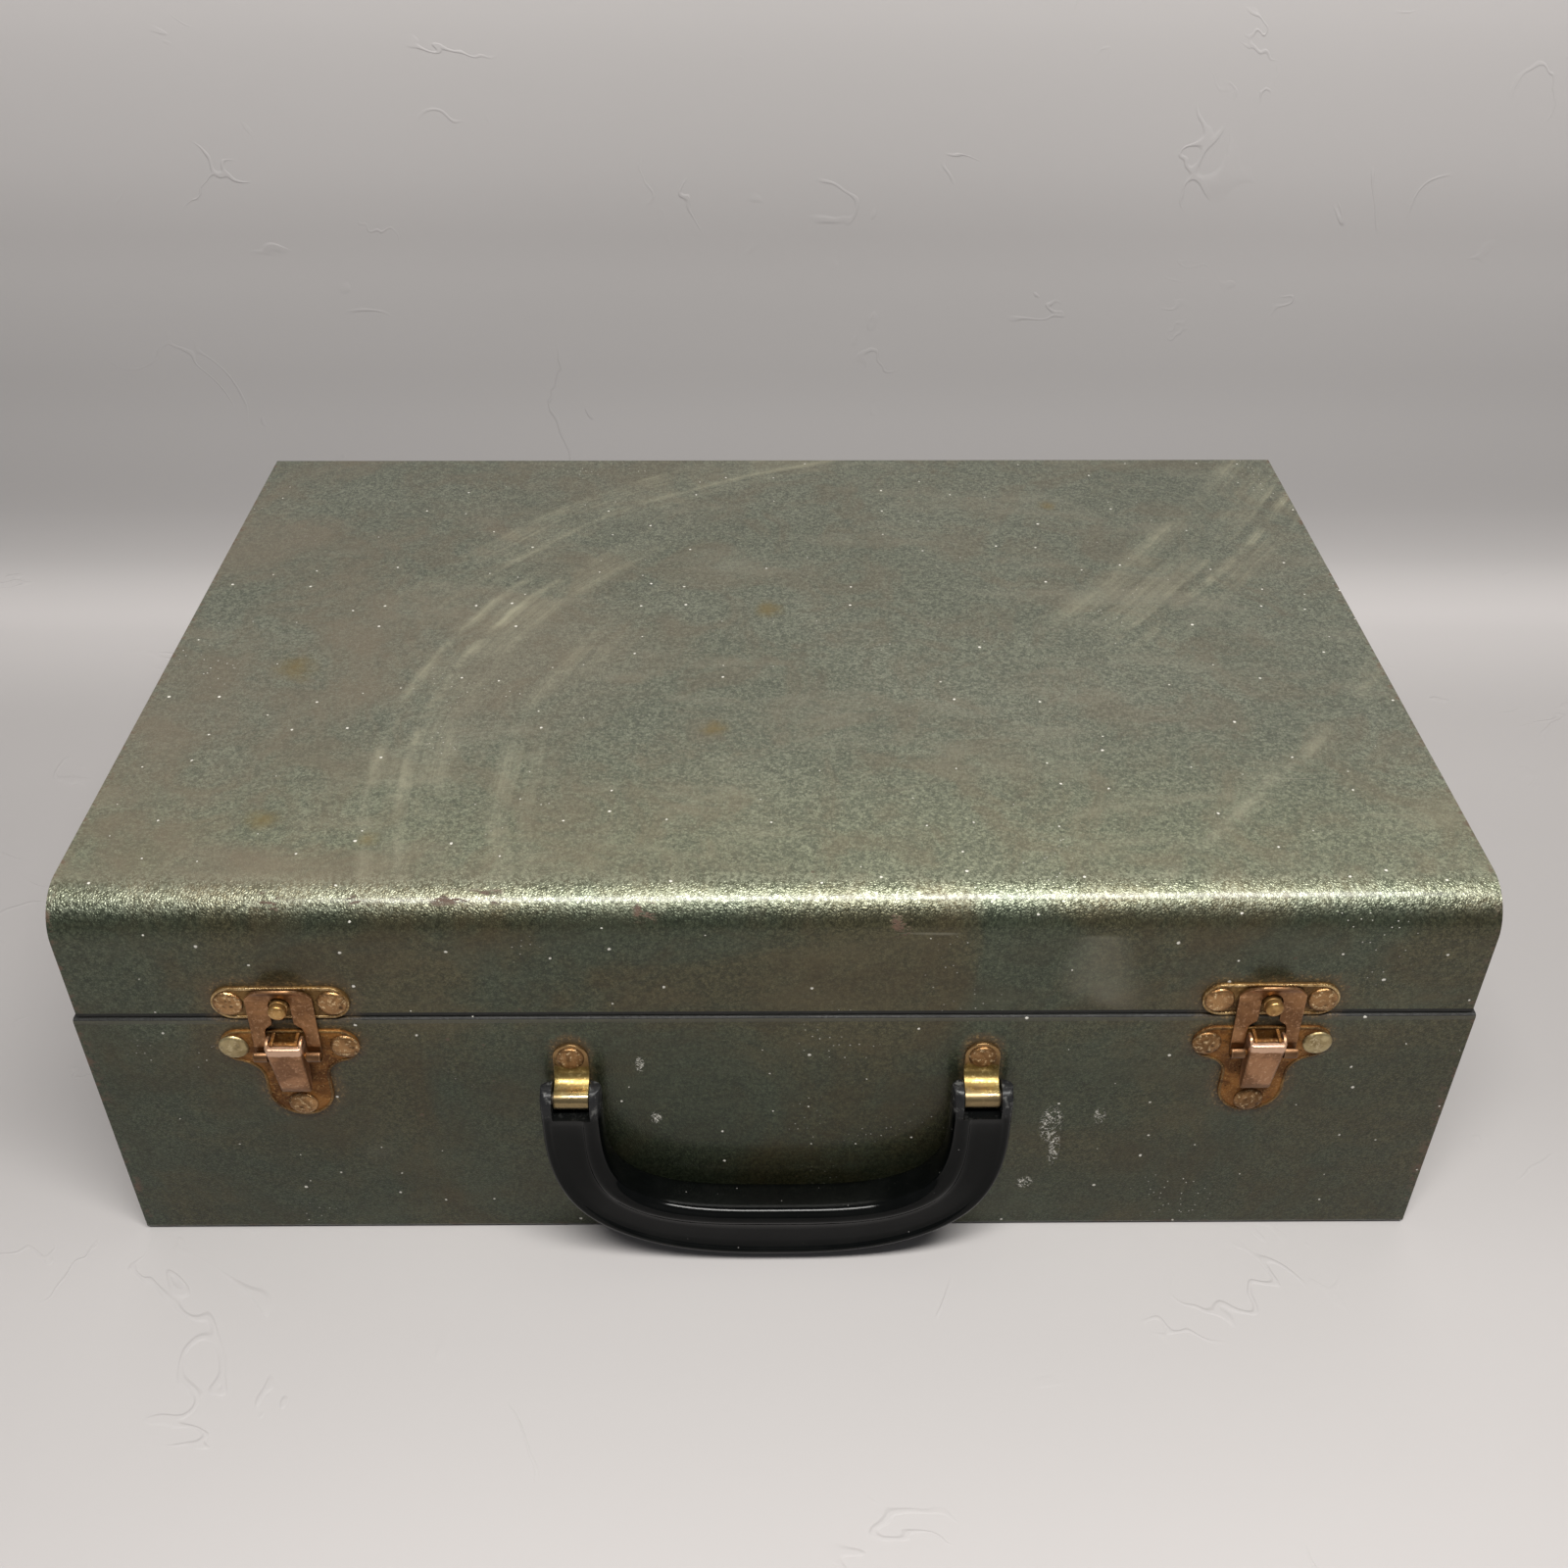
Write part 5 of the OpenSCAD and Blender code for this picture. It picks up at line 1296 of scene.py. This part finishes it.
@dataclass
class CarryHandle:
    """The moulded bow handle, its two straps, their rivets and its pins."""

    finishes: Finishes
    lug_r: float = 5.4
    strap_t: float = 1.2
    slot_floor: float = 4.6
    outer_power: float = 2.5
    inner_power: float = 3.2
    grip_front: float = 14.0
    steps: int = 72

    def build(self) -> None:
        """Makes the handle's pieces."""
        joint = next(j for j in FRAME["joints"] if j["name"] == "handle_swing")
        self.pin = Vector(joint["pos_m"]) / MM
        self.wall = box_mm("handle_clip_left")[1].y
        self.low, self.high = box_mm("handle_grip")
        clip_low, clip_high = box_mm("handle_clip_right")
        self.clip_x = (clip_low.x + clip_high.x) / 2
        self.clip_half = (clip_high.x - clip_low.x) / 2
        self.rivet_z = clip_high.z - self.clip_half
        self.grip()
        for side in Side:
            self.strap(side)
        self.rivets()
        for side in Side:
            self.pin_piece(side)

    def bow(self, half: float, low: float, power: float, share: float) -> Point2:
        """A point on a bow that hangs from the arms.

        Args:
            half: the bow's half width.
            low: its lowest height.
            power: how square it is; 2 is an ellipse.
            share: from 0 to 1, left to right.

        Returns:
            The point's X and height.
        """
        a = math.pi * share
        top = self.pin.z - 8
        c, s = math.cos(a), math.sin(a)
        return -half * math.copysign(abs(c) ** (2 / power), c), top - (top - low) * abs(s) ** (2 / power)

    def section(self, outer: Point2, inner: Point2, back: float, front: float, rim: float) -> list[Point3]:
        """One ring of the handle, with a sunk face between two rims.

        Args:
            outer: the ring's outer edge in [x, height].
            inner: its inner edge.
            back: the back's distance out of the wall.
            front: the front's distance out of the wall.
            rim: how deep the face is sunk.

        Returns:
            The ring's points.
        """
        a, b = Vector(outer), Vector(inner)
        width = (b - a).length
        depth = front - back
        rb = min(3.2, depth * 0.45)
        rf = min(1.5, depth * 0.3)
        ri = min(4.2, depth * 0.45)
        loop = arc(rb, rb, rb, 180, 270, 5) + arc(width - rb, rb, rb, 270, 360, 5)
        loop += arc(width - ri, depth - ri, ri, 0, 80, 7)
        inner_lip = width - ri * 1.25
        outer_lip = 2.3
        loop += [(inner_lip, depth - 0.1), (inner_lip - 0.5, depth - rim * 0.75),
                 (inner_lip - 1.0, depth - rim)]
        middle = (inner_lip + outer_lip) / 2
        loop += [(middle + 2.5, depth - rim * 1.15), (middle - 2.5, depth - rim * 1.15)]
        loop += [(outer_lip + 0.9, depth - rim), (outer_lip + 0.4, depth - rim * 0.7),
                 (outer_lip, depth - 0.08)]
        loop += arc(rf, depth - rf, rf, 95, 180, 5)
        way = (b - a) / width
        return [(a.x + way.x * w, self.wall - back - d, a.y + way.y * w) for w, d in loop]

    def grip(self) -> None:
        """Lofts the bow, forks its ends and rounds the lugs about the pins."""
        out_half = self.high.x
        lug = 3.4
        slot_half = self.clip_half + 0.4
        in_half = self.clip_x - slot_half - lug
        grip_low = self.low.z
        grip_top = grip_low + 20.5
        pin_u = self.wall - self.pin.y
        rings = []

        def lug_ring(sign: int, z: float) -> list[Point3]:
            """A ring across one arm above the bow."""
            above = max(z - self.pin.z, 0.0)
            half = max(math.sqrt(max(self.lug_r ** 2 - above ** 2, 0.0)), 0.35)
            blend = min(max((self.pin.z - 2.0 - z) / 6.0, 0.0), 1.0)
            o, i = (sign * out_half, z), (sign * in_half, z)
            return self.section(o, i, pin_u - half, pin_u + half, 0.02 + 1.0 * blend)

        heights = [self.pin.z + self.lug_r * math.sin(math.radians(a)) for a in (86, 75, 62, 48, 32, 16, 0)]
        heights += [self.pin.z - d for d in (2, 3.5, 5, 6.5)]
        rings += [lug_ring(-1, z) for z in heights]
        for k in range(self.steps + 1):
            share = k / self.steps
            o = self.bow(out_half, grip_low, self.outer_power, share)
            i = self.bow(in_half, grip_top, self.inner_power, share)
            lowness = min(max((self.pin.z - 8 - (o[1] + i[1]) / 2) / 34.0, 0.0), 1.0)
            swell = lowness * lowness * (3 - 2 * lowness)
            back = (pin_u - self.lug_r) * (1 - swell) + 1.2 * swell
            front = (pin_u + self.lug_r) * (1 - swell) + (1.2 + self.grip_front) * swell
            rings.append(self.section(o, i, back, front, 1.0 + 0.15 * swell))
        rings += [lug_ring(1, z) for z in reversed(heights)]
        obj = to_object("handle_grip_moulded", loft(rings), self.finishes.plastic, 62.0)
        cutters = []
        for sign in (-1, 1):
            cube = bmesh.new()
            bmesh.ops.create_cube(cube, size=1.0)
            size = Vector((2 * slot_half, 40.0, self.slot_floor + 2 * self.lug_r)) * MM
            middle = Vector((sign * self.clip_x, self.pin.y,
                             self.pin.z - self.slot_floor / 2 + self.lug_r)) * MM
            bmesh.ops.scale(cube, vec=size, verts=cube.verts)
            bmesh.ops.translate(cube, vec=middle, verts=cube.verts)
            cutters.append(cube)
        cutter_mesh = bpy.data.meshes.new("slots")
        joined(cutters).to_mesh(cutter_mesh)
        cutter = bpy.data.objects.new("slots", cutter_mesh)
        bpy.context.scene.collection.objects.link(cutter)
        cut = obj.modifiers.new("fork", "BOOLEAN")
        cut.object = cutter
        cut.operation = "DIFFERENCE"
        cut.solver = "EXACT"
        soften = obj.modifiers.new("soften", "BEVEL")
        soften.width = 0.35 * MM
        soften.segments = 2
        soften.limit_method = "ANGLE"
        soften.angle_limit = math.radians(62)
        baked = bpy.data.meshes.new_from_object(obj.evaluated_get(bpy.context.evaluated_depsgraph_get()))
        obj.modifiers.clear()
        obj.data = baked
        bpy.data.objects.remove(cutter)
        stand_in(obj, "handle", "handle_plastic", "handle_grip")

    def strap(self, side: Side) -> None:
        """One brass strap: flat and riveted above, swept out over the pin and curled round it."""
        x = side.value * self.clip_x
        pin_u = self.wall - self.pin.y
        clip_low, clip_high = box_mm(f"handle_clip_{side.word}")
        loop = clip_high.y - clip_low.y - pin_u - self.strap_t / 2
        flat_u = self.strap_t / 2
        top = self.pin.z + loop
        rise = pin_u - flat_u
        sweep = [(flat_u + rise * (1 - math.cos(math.radians(a))),
                  top + rise * 0.82 * (1 - math.sin(math.radians(a))))
                 for a in range(0, 91, 10)]
        around = [(pin_u + loop * math.cos(math.radians(a)), self.pin.z + loop * math.sin(math.radians(a)))
                  for a in range(78, -199, -12)]
        crest = self.rivet_z + self.clip_half
        path = Path([(flat_u, crest), (flat_u, top + rise * 0.82 + 1.0)] + sweep + around)
        w = self.clip_half
        outline = [(w, w), (w, path.length), (-w, path.length), (-w, w)] + arc(0, w, w, 180, 360, 20)[1:-1]
        bm = plate([outline], self.strap_t, 0.22)
        slice_along(bm, 1, 0.0, path.length, 0.6)
        for v in bm.verts:
            here, normal = path.at(v.co.y)
            spot = here + normal * v.co.z
            v.co = Vector((x + v.co.x, self.wall - spot.x, spot.y))
        stand_in(to_object(f"handle_strap_{side.word}", bm, self.finishes.clip, 50.0), "case", "clip_brass",
                 f"handle_clip_{side.word}")

    def rivets(self) -> None:
        """The two rivets that hold the straps."""
        heads = [outwards(Rivet(head_r=4.25).mesh(1.0 + self.strap_t, 51 + i),
                          (side.value * self.clip_x, self.wall - self.strap_t, self.rivet_z)) for i,
                          side in enumerate(Side)]
        stand_in(to_object("handle_rivets_worn", joined(heads), self.finishes.rivet[Plating.COPPER]), "case",
                 "rivet_copper", "handle_rivets")

    def pin_piece(self, side: Side) -> None:
        """A pin with eased ends that just meet the lugs' faces."""
        node = f"handle_pin_{side.word}"
        low, high = box_mm(node)
        r, half = (high.z - low.z) / 2, (high.x - low.x) / 2
        bm = lathe([(0.001, half), (r * 0.6, half), (r * 0.9, half - 0.15), (r, half - 0.5), (r, -half + 0.5),
                    (r * 0.9, -half + 0.15), (r * 0.6, -half), (0.001, -half)], 32)
        bmesh.ops.transform(bm, matrix=Matrix.Translation((low + high) / 2) @ CROSSWISE, verts=bm.verts)
        stand_in(to_object(f"{node}_eased", bm, self.finishes.steel), "handle", "pin_steel", node)


@dataclass
class BackHinge:
    """The long hinge's rivets and the stops' rivets, turned with real heads."""

    finishes: Finishes
    rivet: Rivet = field(default_factory=lambda: Rivet(2.8, 0.9, 1.2, 1.8, 0.8))

    def build(self) -> None:
        """Replaces each rivet group with turned rivets at the same places."""
        for node, body in (("hinge_rivets_body", "case"), ("hinge_rivets_lid", "lid"),
                           ("lid_stop_rivets", "lid")):
            low, high = box_mm(node)
            z = (low.z + high.z) / 2
            grip = high.y - low.y - self.rivet.head_t - self.rivet.tail_t
            heads = [outwards(self.rivet.mesh(grip, 71 + i), (x, high.y - self.rivet.head_t, z), back=True)
                     for i, x in enumerate(self.places(node, low, high))]
            stand_in(to_object(f"{node}_turned", joined(heads), self.finishes.steel), body, "hinge_steel",
                     node)

    def places(self, node: str, low: Vector, high: Vector) -> list[float]:
        """Where the rivets stand.

        Args:
            node: the CAD node of the rivets.
            low: its lowest corner.
            high: its highest corner.

        Returns:
            Each rivet's X.
        """
        first, last = low.x + self.rivet.head_r, high.x - self.rivet.head_r
        if node == "lid_stop_rivets":
            _, stop_high = box_mm("lid_stops")
            pair = (stop_high.x - last) * 2
            return [first, first + pair, last - pair, last]
        return [first + (last - first) * i / 7 for i in range(8)]


@dataclass
class SheetWork:
    """The steel of body, lid, hinge and trays: CAD shapes dressed in their finishes."""

    finishes: Finishes
    paint: tuple[str, ...] = ("body_wrap", "body_end_left", "body_end_right", "lid_wrap", "lid_end_left",
                              "lid_end_right")
    inner: tuple[str, ...] = ("rim_strip", "front_ledge", "rear_ledge", "well_divider")
    steel: tuple[str, ...] = ("hinge_leaf_body", "hinge_leaf_lid", "hinge_pin", "lid_stops")

    def build(self) -> None:
        """Gives each CAD piece that stays its finish."""
        for names, finish in ((self.paint, self.finishes.paint), (self.inner, self.finishes.inner),
                              (self.steel, self.finishes.steel)):
            for name in names:
                self.dress(name, finish)
        for side in Side:
            for stem in ("pan", "cross_divider", "partitions"):
                self.dress(f"tray_{side.word}_{stem}", self.finishes.tray)
            self.dress(f"tray_{side.word}_bail", self.finishes.wire)

    @staticmethod
    def dress(name: str, finish: bpy.types.Material) -> None:
        """Puts one finish on a CAD node."""
        obj = FRAME["nodes"][name]
        for slot in obj.material_slots:
            slot.material = finish
        if not obj.material_slots:
            obj.data.materials.append(finish)
        log.info("%s: dressed in %s", name, finish.name)


@dataclass
class Studio:
    """Floor, backdrop, lights and camera."""

    lens: float = 37.5
    camera_place: Point3 = (-0.001387, -0.49092, 0.448)
    pitch: float = math.radians(37.035)
    yaw: float = math.radians(0.549)
    roll: float = math.radians(0.175)
    bend: Point2 = (0.25, 0.15)
    # Painted shade and light on the paper, as [depth plus height, brightness]: darker round the case and
    # where the paper curves up, brighter higher up the wall.
    shades: tuple[tuple[float, float], ...] = (
        (-0.60, 1.0), (-0.25, 0.94), (-0.16, 0.90), (-0.08, 0.77), (0.10, 0.79), (0.17, 0.80), (0.235, 0.96),
        (0.26, 1.0), (0.30, 0.76), (0.35, 0.56), (0.42, 0.56), (0.47, 0.60), (0.52, 0.75), (0.58, 0.90),
        (0.66, 1.04), (0.80, 1.3), (1.0, 1.6))

    def build(self) -> None:
        """Makes the studio and sets the scene's camera."""
        self.backdrop()
        self.lights()
        self.camera()

    def backdrop(self) -> None:
        """One sheet of paper that lies flat and curves up behind the case."""
        bend_y, bend_r = self.bend
        profile = [(-2.6 + (bend_y + 2.6) * i / 14, 0.0) for i in range(14)]
        profile += arc(bend_y, bend_r, bend_r, -90, 0, 24)
        profile += [(bend_y + bend_r, bend_r + 0.2 * i) for i in range(1, 12)]
        bm = bmesh.new()
        rows = [[bm.verts.new((x, y, z)) for x in (-3.2, -1.6, 0.0, 1.6, 3.2)] for y, z in profile]
        for a, b in zip(rows, rows[1:]):
            for i in range(4):
                bm.faces.new((a[i], a[i + 1], b[i + 1], b[i]))
        bmesh.ops.remove_doubles(bm, verts=bm.verts, dist=1e-5)
        mesh = bpy.data.meshes.new("backdrop")
        bm.to_mesh(mesh)
        bm.free()
        for face in mesh.polygons:
            face.use_smooth = True
        mesh.materials.append(StudioPaper(shades=self.shades).make())
        obj = bpy.data.objects.new("backdrop", mesh)
        bpy.context.scene.collection.objects.link(obj)

    def lamp(self, name: str, place: Point3, target: Point3, size: tuple[float, float], power: float,
             tint: Colour) -> None:
        """Adds one soft rectangular light.

        Args:
            name: the light's name.
            place: where it stands.
            target: what it is aimed at.
            size: its width and height in metres.
            power: its power in watts.
            tint: its colour.
        """
        data = bpy.data.lights.new(name, "AREA")
        data.shape = "RECTANGLE"
        data.size, data.size_y = size
        data.energy = power
        data.color = tint
        obj = bpy.data.objects.new(name, data)
        obj.location = place
        obj.rotation_euler = (Vector(target) - Vector(place)).to_track_quat("-Z", "Y").to_euler()
        bpy.context.scene.collection.objects.link(obj)

    def lights(self) -> None:
        """An overhead softbox, a weak fill from the front and an even room."""
        self.lamp("overhead", (0.12, -0.66, 1.45), (0.02, -0.10, 0.05), (1.25, 0.26), 37.0,
                  (1.0, 0.985, 0.95))
        self.lamp("fill", (0.5, -1.9, 1.1), (0.0, 0.0, 0.05), (1.4, 1.0), 0.8, (1.0, 0.98, 0.95))
        world = bpy.data.worlds.new("room")
        world.use_nodes = True
        ground = world.node_tree.nodes["Background"]
        ground.inputs[0].default_value = (0.92, 0.94, 1.0, 1.0)
        ground.inputs[1].default_value = 0.19
        bpy.context.scene.world = world
        view = bpy.context.scene.view_settings
        view.view_transform = "Standard"
        view.look = "None"

    def camera(self) -> None:
        """The camera, looking down at the case from the front."""
        data = bpy.data.cameras.new("camera")
        data.sensor_width = 36.0
        data.lens = self.lens
        data.clip_start = 0.01
        forward = Vector((math.sin(self.yaw) * math.cos(self.pitch),
                          math.cos(self.yaw) * math.cos(self.pitch),
                          -math.sin(self.pitch)))
        right = Vector((math.cos(self.yaw), -math.sin(self.yaw), 0.0))
        up = right.cross(forward)
        rolled = right * math.cos(self.roll) + up * math.sin(self.roll)
        upright = up * math.cos(self.roll) - right * math.sin(self.roll)
        turn = Matrix((rolled, upright, -forward)).transposed().to_4x4()
        obj = bpy.data.objects.new("camera", data)
        obj.matrix_world = Matrix.Translation(self.camera_place) @ turn
        bpy.context.scene.collection.objects.link(obj)
        bpy.context.scene.camera = obj


def case_paint() -> HammeredPaint:
    """The paint with its wear placed from the frame.

    Returns:
        The paint, with scuffs, rust blooms, stains and chips at their places on this case.
    """
    _, lid_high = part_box("lid_wrap")
    body_low, body_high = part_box("body_wrap")
    top = lid_high[2]
    front = body_low[1]
    blooms = []
    for side in Side:
        low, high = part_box(f"strike_plate_{side.word}")
        mid_x, mid_z, half = (low[0] + high[0]) / 2, (low[2] + high[2]) / 2, (high[0] - low[0]) / 2
        first, last = mid_x - half + 0.006, mid_x + half - 0.006
        blooms.append(Halo((first, front, mid_z), (last, front, mid_z), 0.0062, 0.0050))
        low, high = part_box(f"latch_base_{side.word}")
        ears = high[2] - 0.0065
        blooms.append(Halo((first, front, ears), (last, front, ears), 0.0065, 0.0036))
        blooms.append(Halo((mid_x, front, high[2] - 0.010), (mid_x, front, low[2] + 0.010), 0.0105, 0.0042))
        low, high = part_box(f"handle_clip_{side.word}")
        mid_x = (low[0] + high[0]) / 2
        blooms.append(Halo((mid_x, front, high[2] - 0.003), (mid_x, front, low[2] + 0.006), 0.0052, 0.0026))
    scuffs = (
        Scuff((0.085, -0.075, top), 0.205, 0.022, (-0.105, -0.03, top), 0.13, 1.0),
        Scuff((0.105, -0.085, top), 0.19, 0.010, (-0.075, -0.06, top), 0.12, 0.9),
        Scuff((0.10, -0.10, top), 0.262, 0.020, (-0.05, 0.10, top), 0.13, 0.8),
        Scuff((-0.62, 0.62, top), 0.965, 0.034, (0.165, 0.07, top), 0.11, 0.9),
        Scuff((-0.60, 0.60, top), 1.02, 0.012, (0.14, -0.03, top), 0.14, 0.6),
    )
    stains = (((-0.165, -0.018, top), 0.008), ((-0.155, -0.102, top), 0.006), ((-0.122, -0.112, top), 0.004),
              ((-0.003, 0.02, top), 0.006), ((-0.02, -0.055, top), 0.005), ((0.11, 0.10, top), 0.004))
    chips = (((-0.098, front + 0.0045, top - 0.003), (-0.080, front + 0.0085, top)),
             ((-0.122, front + 0.0040, top - 0.003), (-0.114, front + 0.0070, top)),
             ((-0.1475, front + 0.003, top - 0.006), (-0.1440, front + 0.008, top)),
             ((-0.040, front + 0.002, top - 0.007), (-0.036, front + 0.005, top - 0.003)),
             ((0.0340, front + 0.0005, top - 0.012), (0.0375, front + 0.0035, top - 0.007)))
    residue = ((0.087, 0.050, 0.004, 0.009), (0.089, 0.039, 0.002, 0.009), (0.102, 0.054, 0.002, 0.004),
               (0.081, 0.022, 0.003, 0.003), (-0.038, 0.054, 0.002, 0.003), (-0.042, 0.078, 0.0015, 0.004))
    return HammeredPaint(scuffs=scuffs, halos=tuple(blooms), stains=stains, chips=chips, residue=residue,
                         half_width=body_high[0], front=front, rim=body_high[2], top=top)


FRAME: dict = {}


def main() -> None:
    """Builds the sewing case and its studio."""
    logging.basicConfig(level=logging.INFO, format="%(name)s: %(message)s")
    FRAME.update(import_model())
    finishes = Finishes(case_paint())
    Studio().build()
    SheetWork(finishes).build()
    BackHinge(finishes).build()
    for side in Side:
        Latch(side, finishes).build()
    CarryHandle(finishes).build()
    log.info("built")


if __name__ == "__main__":
    main()
